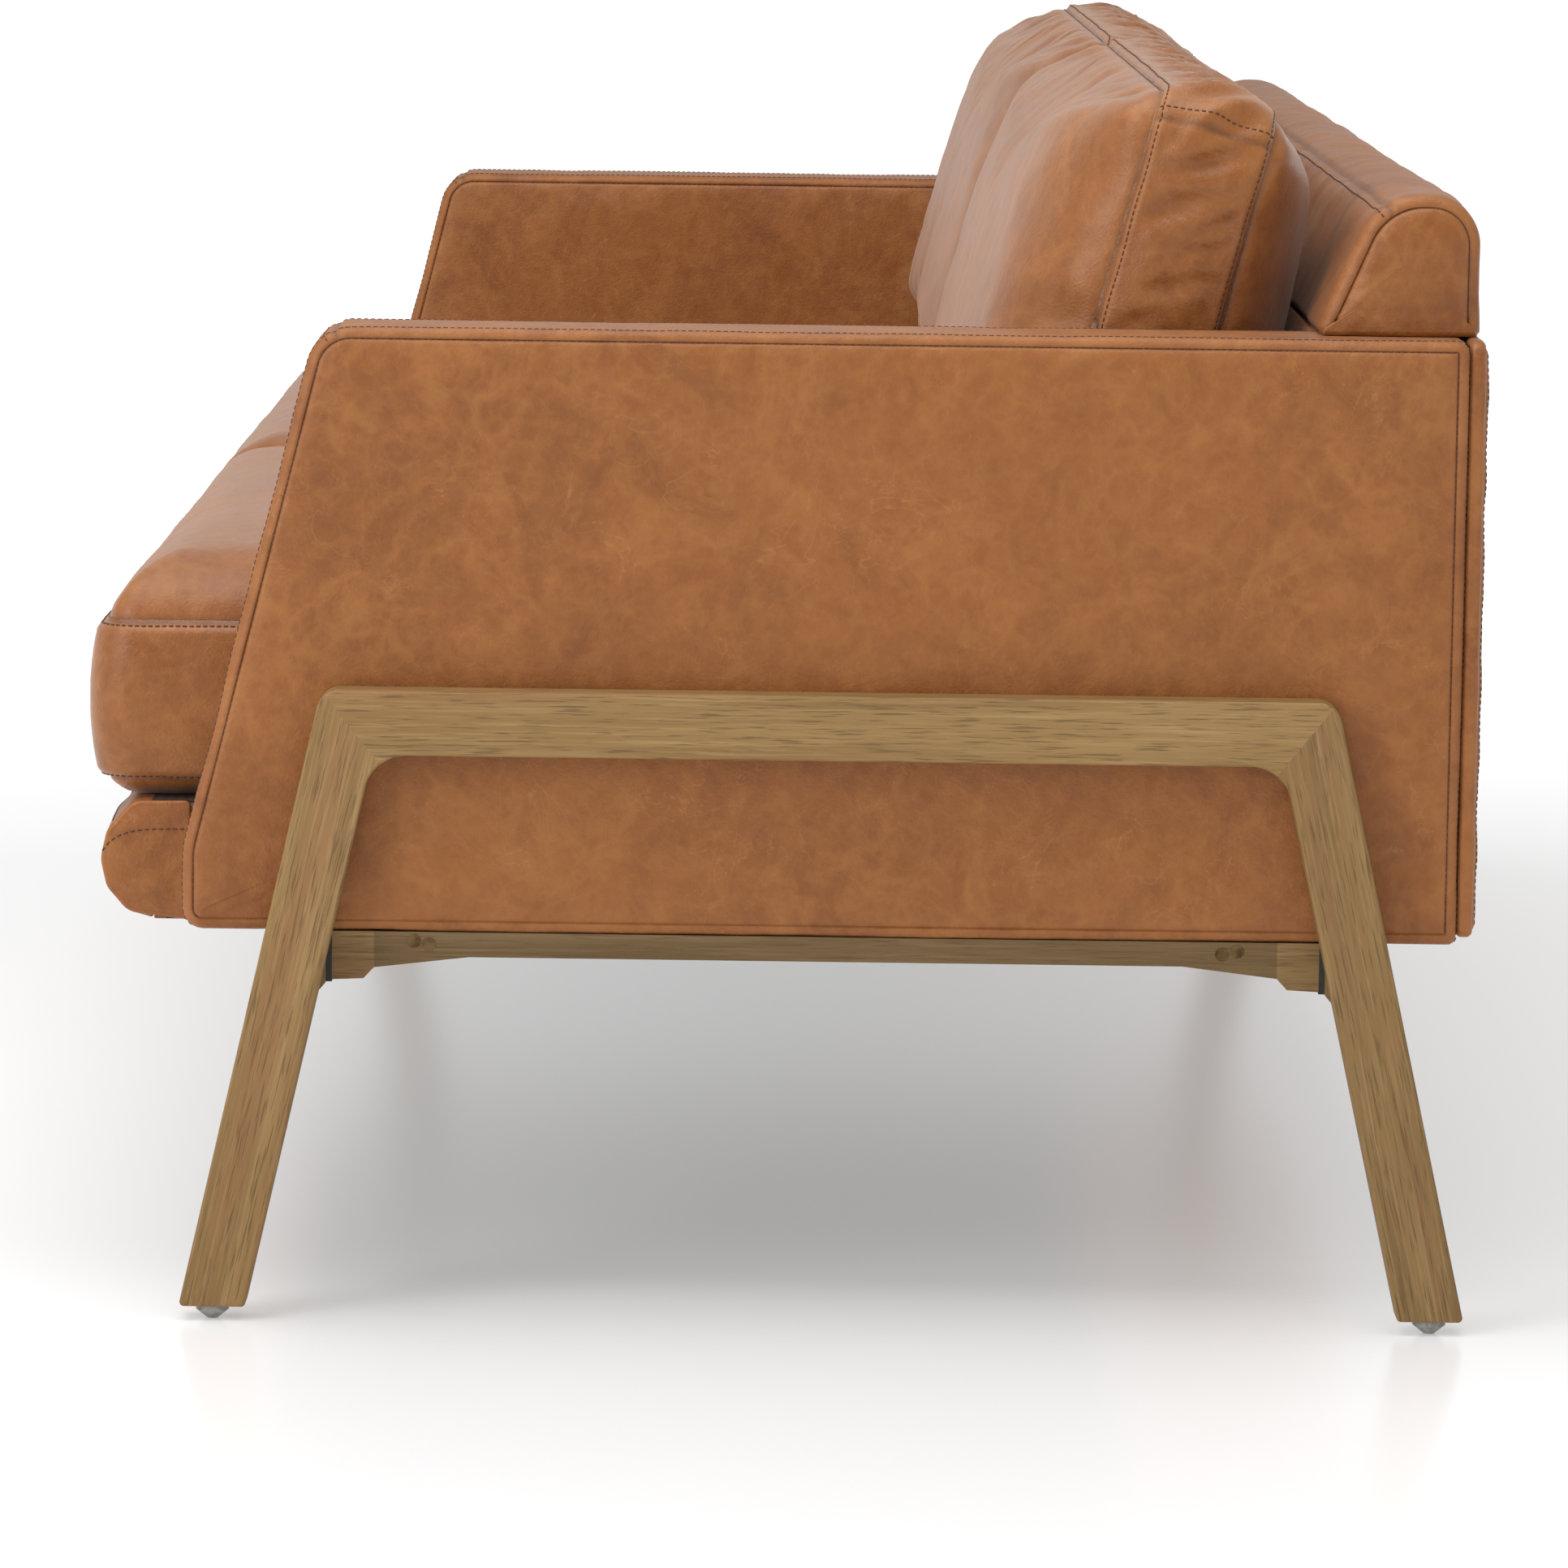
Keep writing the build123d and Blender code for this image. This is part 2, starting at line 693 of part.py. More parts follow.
# ---- padded front edge --------------------------------------------------------------------------
# Foam rolls over the front rail and a little way under it, inside its own leather.
lip_back_y = front_rail_y[0] - wrap_gap
lip_crown, lip_nose_drop = 21, 37
lip_chin_depth, lip_chin_rise, lip_throat_depth = 6, 3, 24
lip_points = [
    (lip_back_y, deck_z),
    (lip_front_y + lip_crown, deck_z),
    (lip_front_y, deck_z - lip_nose_drop),
    (lip_front_y + lip_chin_depth, body_underside + lip_chin_rise),
    (lip_front_y + lip_throat_depth, body_underside - lip_under),
    (lip_back_y + lip_return, body_underside - lip_under),
    (lip_back_y + lip_return, rail_floor_z - wrap_gap),
    (lip_back_y, rail_floor_z - wrap_gap),
]
lip_edge, lip_crown_rounding, lip_nose_rounding = 2, 10, 34
lip_chin_rounding, lip_throat_rounding = 14, 10
lip_radii = [
    lip_edge,
    lip_crown_rounding,
    lip_nose_rounding,
    lip_chin_rounding,
    lip_throat_rounding,
    lip_edge,
    lip_edge,
    0,
]

with BuildPart() as lip_cover:
    slab(lip_points, lip_radii, -seat_half, seat_half)
    slab(lip_points, lip_radii, -seat_half + leather, seat_half - leather, leather, Mode.SUBTRACT)
save(lip_cover, "front_edge_cover")

with BuildPart() as lip_padding:
    lip_wrap = leather + wrap_gap
    slab(lip_points, lip_radii, -seat_half + lip_wrap, seat_half - lip_wrap, lip_wrap)
save(lip_padding, "front_edge_padding")

with BuildPart() as dust_cover:
    bar(
        (-seat_half, seat_half),
        (lip_back_y + lip_return + soft_gap, rear_rail_y[1]),
        (rail_floor_z - dust_cloth, rail_floor_z),
    )
save(dust_cover, "dust_cover")

# ---- back ---------------------------------------------------------------------------------------
# The back leans from above the seat and reaches out over both arms.  Four cut posts carry three
# rails, elastic straps fill the bays, and padding and leather wrap the whole.


def lean_y(z):
    """Depth station of the inside of the back at a height."""
    return inside_back_y + max(0, z - lean_z) * lean


back_points = [
    (inside_back_y, rail_floor_z),
    (inside_back_y, lean_z),
    (lean_y(back_top_z), back_top_z),
    (arm_rear_y, back_top_z),
    (arm_rear_y, rail_floor_z),
]
back_radii = [
    underside_rounding,
    back_hip_rounding,
    back_front_rounding,
    back_rear_rounding,
    underside_rounding,
]
wing_floor_z = arm_top_z + wrap_gap
wing_points = [
    (lean_y(wing_floor_z), wing_floor_z),
    (lean_y(back_top_z), back_top_z),
    (arm_rear_y, back_top_z),
    (arm_rear_y, wing_floor_z),
]
wing_floor_rounding = 2
wing_radii = [wing_floor_rounding, back_front_rounding, back_rear_rounding, wing_floor_rounding]
wing_x = arm_inner_x + back_wing


def back_body(inset):
    """Add the whole back with its wings, shrunk all round by the inset, to the open part."""
    slab(back_points, back_radii, -seat_half + inset, seat_half - inset, inset)
    for side in sides.values():
        slab(wing_points, wing_radii, side * (seat_half - back_wing), side * (wing_x - inset), inset)


with BuildPart() as back_cover_hollow:
    back_body(leather)

with BuildPart() as back_cover:
    back_body(0)
    add(back_cover_hollow.part, mode=Mode.SUBTRACT)
    back_bolt_holes()
save(back_cover, "back_cover")

post_half = seat_half - back_timber
with BuildPart() as back_padding_shell:
    back_body(back_wrap)
    slab(back_points, back_radii, -seat_half + back_core, seat_half - back_core, back_core, Mode.SUBTRACT)
    back_bolt_holes()
save(back_padding_shell, "back_padding")

hollow_floor_z, hollow_top_z = rail_floor_z + back_timber, back_top_z - back_timber
hollow_front_y = inside_back_y + back_timber
bottom_rail_z = (hollow_floor_z, hollow_floor_z + back_rail_height)
middle_rail_z = (lean_z - 2 * back_rail_height, lean_z - back_rail_height)
top_rail_z = (hollow_top_z - back_rail_height, hollow_top_z)
front_rail_depth = (hollow_front_y, hollow_front_y + back_rail_height)


with BuildPart() as back_top_rail:
    slab(back_points, back_radii, -post_half, post_half, back_timber)
    split(bisect_by=Plane.XY.offset(top_rail_z[0]), keep=Keep.TOP)
save(back_top_rail, "back_top_rail")

with BuildPart() as back_middle_rail:
    bar((-post_half, post_half), front_rail_depth, middle_rail_z)
save(back_middle_rail, "back_middle_rail")

with BuildPart() as back_bottom_rail:
    bar((-post_half, post_half), front_rail_depth, bottom_rail_z)
    back_bolt_holes()
save(back_bottom_rail, "back_bottom_rail")

post_starts = [-post_half + i * (2 * post_half - back_post_thickness) / 3 for i in range(4)]
with BuildPart() as back_posts:
    for x in post_starts:
        slab(back_points, back_radii, x, x + back_post_thickness, back_timber)
    split(bisect_by=Plane.XY.offset(top_rail_z[0]), keep=Keep.BOTTOM)
    for rail_heights in (middle_rail_z, bottom_rail_z):
        bar((-post_half, post_half), front_rail_depth, rail_heights, Mode.SUBTRACT)
save(back_posts, "back_posts")

# The straps lie just behind the padding, from the middle rail up to the top rail.
with BuildPart() as back_straps:
    strap_z0, strap_z1 = lean_z - back_rail_height, top_rail_z[0]
    set_back = back_timber / math.cos(math.radians(back_lean)) + strap_thickness
    strap_face = [
        (inside_back_y + set_back, strap_z0),
        (inside_back_y + set_back, lean_z),
        (lean_y(strap_z1) + set_back, strap_z1),
    ]
    strap_points = strap_face + [(y + strap_thickness, z) for y, z in reversed(strap_face)]
    bay = (2 * post_half - back_post_thickness) / 3
    for start in post_starts[:3]:
        for i in range(straps_per_bay):
            middle = start + back_post_thickness + (bay - back_post_thickness) * (i + 0.5) / straps_per_bay
            slab(strap_points, 0, middle - strap_width / 2, middle + strap_width / 2)
save(back_straps, "back_straps")

with BuildPart() as back_bolts:
    for x in back_bolt_xs:
        hex_bolt((x, rear_rail_y[0], back_bolt_z), (0, 1, 0), back_bolt_length)
save(back_bolts, "back_bolts")

# The outside back is a padded leather panel that closes the rear over both arms.
with BuildPart() as outside_back:
    panel_half = arm_outer_x - outside_back_inset
    bar(
        (-panel_half, panel_half),
        (rear_y - outside_back_thickness, rear_y),
        (rail_floor_z, rail_floor_z + outside_back_height),
    )
    fillet(outside_back.faces().sort_by(Axis.Y)[-1].edges(), radius=outside_back_thickness / 2)
save(outside_back, "outside_back_panel")

# ---- loose cushions -----------------------------------------------------------------------------
# Two box cushions lie side by side on the deck.  Two back cushions stand on them and lean on the
# back.  Each is a leather case over a filling.
cushion_x = (soft_gap, seat_half)


def cushion(points, radii, side, name):
    """Write the leather case and the filling of one cushion."""
    x_near, x_far = side * cushion_x[0], side * cushion_x[1]
    core_inset = leather + wrap_gap
    with BuildPart() as case:
        slab(points, radii, x_near, x_far)
        fillet(case.faces().filter_by(Axis.X).edges(), radius=seam_rounding)
        slab(points, radii, x_near + side * leather, x_far - side * leather, leather, Mode.SUBTRACT)
    save(case, f"{name}_case")
    with BuildPart() as filling:
        slab(points, radii, x_near + side * core_inset, x_far - side * core_inset, core_inset)
    save(filling, f"{name}_filling")


seat_floor_z = deck_z + soft_gap
seat_top_z = seat_floor_z + seat_cushion_thickness
seat_points = [
    (front_y, seat_floor_z),
    (inside_back_y - soft_gap, seat_floor_z),
    (inside_back_y - soft_gap, seat_top_z),
    (front_y, seat_top_z),
]

back_floor_z = seat_top_z + soft_gap
breast_y = inside_back_y - back_cushion_reach


def rise(share):
    """Height of a share of the back cushion above the seat cushion."""
    return back_floor_z + share * back_cushion_height


relief_y = lean_y(rise(0.59)) - back_cushion_relief
crown_depth = relief_y - breast_y
back_cushion_points = [
    (breast_y + 0.03 * crown_depth, rise(0)),
    (lean_y(rise(0)) - soft_gap, rise(0)),
    (lean_y(rise(0.47)) - soft_gap, rise(0.47)),
    (relief_y, rise(0.59)),
    (relief_y, rise(0.727)),
    (breast_y + 0.89 * crown_depth, rise(0.894)),
    (breast_y + 0.69 * crown_depth, rise(0.985)),
    (breast_y + 0.49 * crown_depth, rise(1)),
    (breast_y + 0.35 * crown_depth, rise(0.949)),
    (breast_y + 0.24 * crown_depth, rise(0.785)),
    (breast_y + 0.05 * crown_depth, rise(0.45)),
    (breast_y, rise(0.29)),
    (breast_y, rise(0.16)),
]

for side_name, side in sides.items():
    cushion(seat_points, seat_cushion_rounding, side, f"{side_name}_seat_cushion")
    cushion(back_cushion_points, back_cushion_rounding, side, f"{side_name}_back_cushion")
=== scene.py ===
import bpy
import numpy as np
from mathutils import Matrix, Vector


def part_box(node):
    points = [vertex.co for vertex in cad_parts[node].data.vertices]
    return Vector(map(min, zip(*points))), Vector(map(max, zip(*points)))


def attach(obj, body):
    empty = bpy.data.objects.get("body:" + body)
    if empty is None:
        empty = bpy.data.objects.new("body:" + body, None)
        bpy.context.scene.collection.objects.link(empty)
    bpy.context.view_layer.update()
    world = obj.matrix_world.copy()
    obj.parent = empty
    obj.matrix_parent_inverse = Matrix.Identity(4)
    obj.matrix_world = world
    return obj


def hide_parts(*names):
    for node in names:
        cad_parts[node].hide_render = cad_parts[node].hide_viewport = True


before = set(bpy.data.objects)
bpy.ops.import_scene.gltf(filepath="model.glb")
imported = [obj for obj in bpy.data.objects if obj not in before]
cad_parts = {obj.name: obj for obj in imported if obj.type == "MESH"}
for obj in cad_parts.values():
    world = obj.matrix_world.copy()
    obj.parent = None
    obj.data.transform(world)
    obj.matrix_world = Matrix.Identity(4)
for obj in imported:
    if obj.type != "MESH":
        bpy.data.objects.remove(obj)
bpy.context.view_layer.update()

# ---- camera ----
# A long lens looks along the width of the sofa at its left end, from just above arm height.  It
# is turned by small angles: a hair to one side, down to the seat, and rolled under one degree.
camera_at = np.array([6.09893, 0.00113, 1.02092])
camera_yaw, camera_pitch, camera_roll = -0.000837, 0.129655, 0.0133178


def standing(right, up, back, at):
    """World matrix of a thing at a place, from its own three axes."""
    matrix = np.eye(4)
    matrix[:3] = np.column_stack([right, up, back, at])
    return Matrix(matrix.tolist())


def camera_matrix(at, yaw, pitch, roll):
    """World matrix of a camera that looks along -X, turned by yaw, pitch and roll in that order."""
    ahead = np.array([-np.cos(pitch) * np.cos(yaw), -np.cos(pitch) * np.sin(yaw), -np.sin(pitch)])
    right = np.cross(ahead, [0, 0, 1])
    right /= np.linalg.norm(right)
    up = np.cross(right, ahead)
    turned_right = right * np.cos(roll) + up * np.sin(roll)
    turned_up = up * np.cos(roll) - right * np.sin(roll)
    return standing(turned_right, turned_up, -ahead, at)


camera = bpy.data.objects.new("camera", bpy.data.cameras.new("camera"))
camera.data.lens = 177.0
camera.data.sensor_width = 36.0
camera.data.clip_end = 60
camera.matrix_world = camera_matrix(camera_at, camera_yaw, camera_pitch, camera_roll)
bpy.context.scene.collection.objects.link(camera)
bpy.context.scene.camera = camera

# ---- room ----
# A pale satin floor that glows as painted light, dimly near the sofa and brightly further out, so that it
# runs out to white; a bright even surround, and two large soft lamps.
world = bpy.data.worlds.new("surround")
world.use_nodes = True
seen_light, cast_light = 1.05, 0.62
sky = world.node_tree.nodes["Background"]
sky.inputs["Color"].default_value = (1.0, 1.0, 1.0, 1.0)
ray = world.node_tree.nodes.new("ShaderNodeLightPath")
strength = world.node_tree.nodes.new("ShaderNodeMapRange")
strength.inputs["To Min"].default_value, strength.inputs["To Max"].default_value = cast_light, seen_light
world.node_tree.links.new(ray.outputs["Is Camera Ray"], strength.inputs["Value"])
world.node_tree.links.new(strength.outputs[0], sky.inputs["Strength"])
bpy.context.scene.world = world
bpy.context.scene.view_settings.view_transform = "Standard"


def soft_lamp(name, at, aim, size, power):
    """A square lamp of the given size that faces a point."""
    lamp = bpy.data.objects.new(name, bpy.data.lights.new(name, "AREA"))
    lamp.data.size = size
    lamp.data.energy = power
    at, aim = np.array(at, float), np.array(aim, float)
    back = (at - aim) / np.linalg.norm(at - aim)
    side = np.cross([0, 1, 0.01], back)
    side /= np.linalg.norm(side)
    lamp.matrix_world = standing(side, np.cross(back, side), back, at)
    bpy.context.scene.collection.objects.link(lamp)


soft_lamp("overhead", at=(1.2, -0.6, 3.4), aim=(0.2, 0, 0.4), size=3.0, power=80)
soft_lamp("front_of_end", at=(3.9, -3.3, 2.2), aim=(0.9, -0.1, 0.5), size=2.2, power=72)

floor_reach = 14.0
floor_mesh = bpy.data.meshes.new("floor")
floor_corners = [(x * floor_reach, y * floor_reach, 0) for x, y in ((-1, -1), (1, -1), (1, 1), (-1, 1))]
floor_mesh.from_pydata(floor_corners, [], [(0, 1, 2, 3)])
floor_top = bpy.data.objects.new("floor", floor_mesh)
bpy.context.scene.collection.objects.link(floor_top)


class Recipe:
    """A node material in the making: adds nodes, and links values into their sockets."""

    def __init__(self, name):
        self.material = bpy.data.materials.new(name)
        self.material.use_nodes = True
        self.tree = self.material.node_tree
        self.surface = self.tree.nodes["Principled BSDF"]
        self.place = self.node("ShaderNodeTexCoord").outputs["Object"]

    def node(self, kind, settings=None, **inputs):
        """A new node with the given settings; inputs are plain values or other nodes' outputs."""
        made = self.tree.nodes.new(kind)
        for key, value in (settings or {}).items():
            setattr(made, key, value)
        for key, value in inputs.items():
            self.feed(made.inputs[key.replace("_", " ")], value)
        return made

    def feed(self, socket, value):
        """Link an output into a socket, or set the socket's own value."""
        if isinstance(value, bpy.types.NodeSocket):
            self.tree.links.new(value, socket)
        else:
            socket.default_value = value

    def stretched(self, scale, turn=(0, 0, 0)):
        """Object coordinates turned, then scaled on each axis."""
        turned = self.node("ShaderNodeMapping", Vector=self.place, Rotation=turn).outputs[0]
        return self.node("ShaderNodeMapping", Vector=turned, Scale=scale).outputs[0]

    def noise(self, vector, scale, detail=4.0, roughness=0.55, distortion=0.0):
        """Fractal noise from 0 to 1."""
        settings = dict(Vector=vector, Scale=scale, Detail=detail, Roughness=roughness)
        return self.node("ShaderNodeTexNoise", **settings, Distortion=distortion).outputs["Fac"]

    def ramp(self, value, low, high, out_low=0.0, out_high=1.0):
        """A value carried from one range to another, held at the ends."""
        made = self.node("ShaderNodeMapRange", {"clamp": True}, Value=value)
        for key, number in zip(("From Min", "From Max", "To Min", "To Max"), (low, high, out_low, out_high)):
            made.inputs[key].default_value = number
        return made.outputs[0]

    def maths(self, operation, first, second):
        """One sum, product, or other operation on two values."""
        made = self.node("ShaderNodeMath", {"operation": operation})
        self.feed(made.inputs[0], first)
        self.feed(made.inputs[1], second)
        return made.outputs[0]

    def blend(self, share, first, second, mode="MIX"):
        """Two colours mixed by a share."""
        made = self.node("ShaderNodeMix", {"data_type": "RGBA", "blend_type": mode})
        self.feed(made.inputs[0], share)
        self.feed(made.inputs[6], first)
        self.feed(made.inputs[7], second)
        return made.outputs[2]

    def relief(self, heights, strength=1.0):
        """Bump from (height, depth in metres) pairs, one laid on the other."""
        normal = None
        for height, depth in heights:
            bump = self.node("ShaderNodeBump", Strength=strength, Distance=depth, Height=height)
            if normal is not None:
                self.feed(bump.inputs["Normal"], normal)
            normal = bump.outputs[0]
        self.feed(self.surface.inputs["Normal"], normal)

    def finish(self, **inputs):
        """Set or link the surface's own sockets and return the material."""
        for key, value in inputs.items():
            self.feed(self.surface.inputs[key.replace("_", " ")], value)
        return self.material


def rgb(red, green, blue):
    """A colour as the eye names it, 0 to 255 a channel, in the renderer's linear terms."""
    share = np.array([red, green, blue]) / 255
    return (*np.where(share <= 0.04045, share / 12.92, ((share + 0.055) / 1.055) ** 2.4).tolist(), 1.0)


floor_finish = Recipe("pale_floor")
floor_cloud = floor_finish.noise(floor_finish.place, 0.8, 3)
floor_tone = floor_finish.blend(floor_cloud, rgb(222, 222, 223), rgb(228, 228, 228))
# Painted light: the floor's glow grows with distance from the sofa, so it paints shade round the sofa and
# white further out.
from_sofa = floor_finish.node("ShaderNodeVectorMath", {"operation": "LENGTH"})
floor_finish.feed(from_sofa.inputs[0], floor_finish.place)
floor_glow = floor_finish.ramp(from_sofa.outputs["Value"], 1.3, 4.5, 0.24, 0.85)
floor_mesh.materials.append(
    floor_finish.finish(
        Base_Color=floor_tone,
        Roughness=0.22,
        Emission_Color=(1.0, 1.0, 1.0, 1.0),
        Emission_Strength=floor_glow,
    )
)

# ---- leg frames ----
# Solid oak, wire-brushed and oiled to a khaki brown: open dark pores and long streaks follow each
# member's own grain, with redder bands here and there and a paler worn surface on the crests.


def oak(name, tilt, tone=1.0):
    """Oak whose grain rises from the depth direction by the tilt, in radians; tone scales its colours, and
    its darker copies paint shade on members that lie in it.
    """
    wood = Recipe(name)
    turn = (-tilt, 0, 0)
    broad = wood.noise(wood.stretched((14, 1.6, 14), turn), 1.0, 3, 0.5, 0.6)
    streak = wood.noise(wood.stretched((95, 3.2, 95), turn), 1.0, 6, 0.62, 0.25)
    fine = wood.noise(wood.stretched((420, 9, 420), turn), 1.0, 4, 0.65)
    pores = wood.noise(wood.stretched((900, 34, 900), turn), 1.0, 2, 0.5)
    red = wood.noise(wood.stretched((30, 1.1, 30), turn), 1.0, 2, 0.5, 0.4)
    khaki, dark = rgb(*np.array([156, 123, 74]) * tone), rgb(*np.array([136, 104, 59]) * tone)
    pale, russet = rgb(*np.array([182, 149, 101]) * tone), rgb(*np.array([150, 104, 64]) * tone)
    colour = wood.blend(wood.ramp(streak, 0.36, 0.66), dark, khaki)
    colour = wood.blend(wood.ramp(broad, 0.5, 0.72, 0, 0.65), colour, pale)
    colour = wood.blend(wood.ramp(red, 0.55, 0.68, 0, 0.55), colour, russet)
    colour = wood.blend(wood.ramp(fine, 0.5, 0.70, 0, 0.6), colour, pale)
    open_pores = wood.ramp(pores, 0.57, 0.68)
    colour = wood.blend(wood.maths("MULTIPLY", open_pores, 0.65), colour, rgb(92, 68, 38))
    wood.relief([(streak, 0.0006), (fine, 0.0004), (wood.ramp(pores, 0.58, 0.7, 1, 0), 0.0004)], 0.6)
    roughness = wood.ramp(fine, 0.3, 0.7, 0.5, 0.68)
    return wood.finish(Base_Color=colour, Roughness=roughness, Specular_IOR_Level=0.35)


def refinish(material, *names):
    """Give CAD nodes a finish in every slot."""
    for name in names:
        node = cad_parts[name]
        if not node.material_slots:
            node.data.materials.append(material)
        for holder in node.material_slots:
            holder.material = material


lean_of_leg = np.radians(90 - 12.6)
# Painted shade: the legs take slightly darker copies of the oak than the rails, and the rear legs are the
# darkest.
oak_level = oak("oak_rail", 0.0, tone=0.95)
refinish(oak_level, "left_leg_rail", "right_leg_rail")
refinish(oak("oak_front_leg_painted_shade", lean_of_leg, tone=0.93), "left_front_leg", "right_front_leg")
refinish(oak("oak_rear_leg_painted_shade", -lean_of_leg, tone=0.9), "left_rear_leg", "right_rear_leg")

# ---- floor glides ----
# A grey nylon dome nailed up into each foot, scuffed dull where it meets the floor.
nylon = Recipe("grey_nylon")
nylon_scuff = nylon.noise(nylon.place, 260, 5)
nylon_tone = nylon.blend(nylon.ramp(nylon_scuff, 0.4, 0.7), rgb(150, 150, 143), rgb(118, 117, 110))
nylon.relief([(nylon_scuff, 0.0004)], 0.5)
refinish(nylon.finish(Base_Color=nylon_tone, Roughness=0.55), "floor_glides")

# ---- stretchers under the arms ----
# The same oak, cut along the depth: block, end block, gusset and long stretcher, in darker copies of the oak
# that paint the shade under the arm.
# A black rubber plate parts block from end block, and bronzed screws hold each gusset.
# Painted shade: tones 0.7, 0.86 and 0.8 darken these copies of the oak for the shade under the arm.
shaded_oak = oak("oak_stretcher_painted_shade", 0.0, tone=0.7)
refinish(shaded_oak, "left_stretcher", "right_stretcher", "stretcher_gussets")
refinish(oak("oak_end_block_painted_shade", 0.0, tone=0.86), "stretcher_end_blocks")
refinish(oak("oak_block_painted_shade", np.radians(90), tone=0.8), "leg_mounting_blocks")


def mottled(name, first, second, scale, detail, depth, strength, roughness, fine=0.7):
    """A finish clouded from one colour to another by a noise, which also embosses it."""
    stuff = Recipe(name)
    cloud = stuff.noise(stuff.place, scale, detail, fine)
    tone = stuff.blend(cloud, first, second)
    stuff.relief([(cloud, depth)], strength)
    return stuff.finish(Base_Color=tone, Roughness=roughness)


black_rubber = mottled(
    "black_rubber", rgb(30, 30, 28), rgb(52, 51, 48), scale=180, detail=4, depth=0.0003, strength=0.5,
    roughness=0.7, fine=0.55,
)
refinish(black_rubber, "rubber_spacers")


def plated(name, light, dark, roughness):
    """Plated steel: brushed brightness with dull spots."""
    metal = Recipe(name)
    brushed = metal.noise(metal.stretched((900, 60, 900)), 1.0, 3)
    dull = metal.noise(metal.place, 90, 4)
    colour = metal.blend(metal.ramp(dull, 0.45, 0.7), light, dark)
    metal.relief([(brushed, 0.0001)], 0.4)
    gloss = metal.ramp(dull, 0.3, 0.7, roughness, roughness + 0.2)
    return metal.finish(Base_Color=colour, Metallic=1.0, Roughness=gloss)


zinc = plated("zinc_plate", rgb(186, 184, 176), rgb(140, 138, 130), 0.32)
refinish(zinc, "leg_bolts", "leg_rail_bolts", "arm_bolts", "back_bolts")
refinish(plated("bronzed_screw", rgb(112, 90, 60), rgb(70, 52, 34), 0.35), "stretcher_screws")

# ---- timbers inside the body ----
# Sawn beech for the arms, seat and back: pale pinkish wood with short brown flecks.


def beech(name, scale):
    """Beech whose grain runs along the axis with the smallest scale."""
    wood = Recipe(name)
    figure = wood.noise(wood.stretched(scale), 1.0, 4, 0.55, 0.4)
    fleck = wood.noise(wood.stretched(tuple(6 * s for s in scale)), 1.0, 2)
    colour = wood.blend(wood.ramp(figure, 0.35, 0.65), rgb(196, 160, 120), rgb(214, 184, 146))
    colour = wood.blend(wood.ramp(fleck, 0.62, 0.72, 0, 0.6), colour, rgb(150, 108, 74))
    wood.relief([(figure, 0.0005)], 0.5)
    return wood.finish(Base_Color=colour, Roughness=0.65)


refinish(beech("beech_across", (2, 60, 60)), "seat_front_rail", "seat_rear_rail")
refinish(beech("beech_back", (2.2, 55, 55)), "back_top_rail", "back_middle_rail", "back_bottom_rail")
beech_deep = beech("beech_deep", (60, 2, 60))
refinish(beech_deep, "seat_left_rail", "seat_right_rail", "seat_centre_rail", "corner_tenons")
refinish(beech_deep, "arm_top_rails", "arm_middle_rails", "arm_bottom_rails")
beech_upright = beech("beech_upright", (60, 60, 2))
refinish(beech_upright, "arm_front_posts", "arm_rear_posts", "back_posts", "seat_corner_blocks")

# ---- springing ----
# Blackened zigzag wire in folded clips, elastic straps in the back, a grey felt pad over the
# wires, and woven cloth over the deck and under the seat.
refinish(plated("spring_steel", rgb(96, 94, 92), rgb(58, 56, 54), 0.38), "seat_springs")
refinish(plated("clip_steel", rgb(160, 158, 150), rgb(112, 110, 104), 0.35), "spring_clips")


def woven(name, light, dark, threads_per_metre, roughness=0.9):
    """Plain cloth: two crossed rows of threads, mottled by wear."""
    cloth = Recipe(name)
    weave = None
    for axis in ("X", "Y"):
        thread = cloth.node(
            "ShaderNodeTexWave",
            {"wave_type": "BANDS", "bands_direction": axis},
            Vector=cloth.place,
            Scale=threads_per_metre / 20,
            Distortion=0.6,
        ).outputs["Fac"]
        weave = thread if weave is None else cloth.maths("MULTIPLY", weave, thread)
    mottle = cloth.noise(cloth.place, 14, 4)
    colour = cloth.blend(weave, dark, light)
    colour = cloth.blend(cloth.ramp(mottle, 0.4, 0.7, 0, 0.35), colour, dark)
    cloth.relief([(weave, 0.0003)], 0.6)
    return cloth.finish(Base_Color=colour, Roughness=roughness)


refinish(woven("deck_cloth", rgb(84, 58, 40), rgb(56, 38, 27), 900), "deck_cover")
refinish(woven("dust_cloth", rgb(44, 43, 42), rgb(24, 24, 24), 1100), "dust_cover")
refinish(woven("strap_cloth", rgb(70, 68, 66), rgb(36, 35, 34), 700), "back_straps")

grey_felt = mottled(
    "grey_felt", rgb(112, 108, 102), rgb(166, 161, 152), scale=240, detail=6, depth=0.0008, strength=0.6,
    roughness=0.95,
)
refinish(grey_felt, "deck_pad")

# ---- leather ----
# Waxed full-grain hide in a cognac tan: it clouds from tan to brown, pales where it is pulled
# over an edge, and carries fine grain, pale scratches and a soft wax bloom.


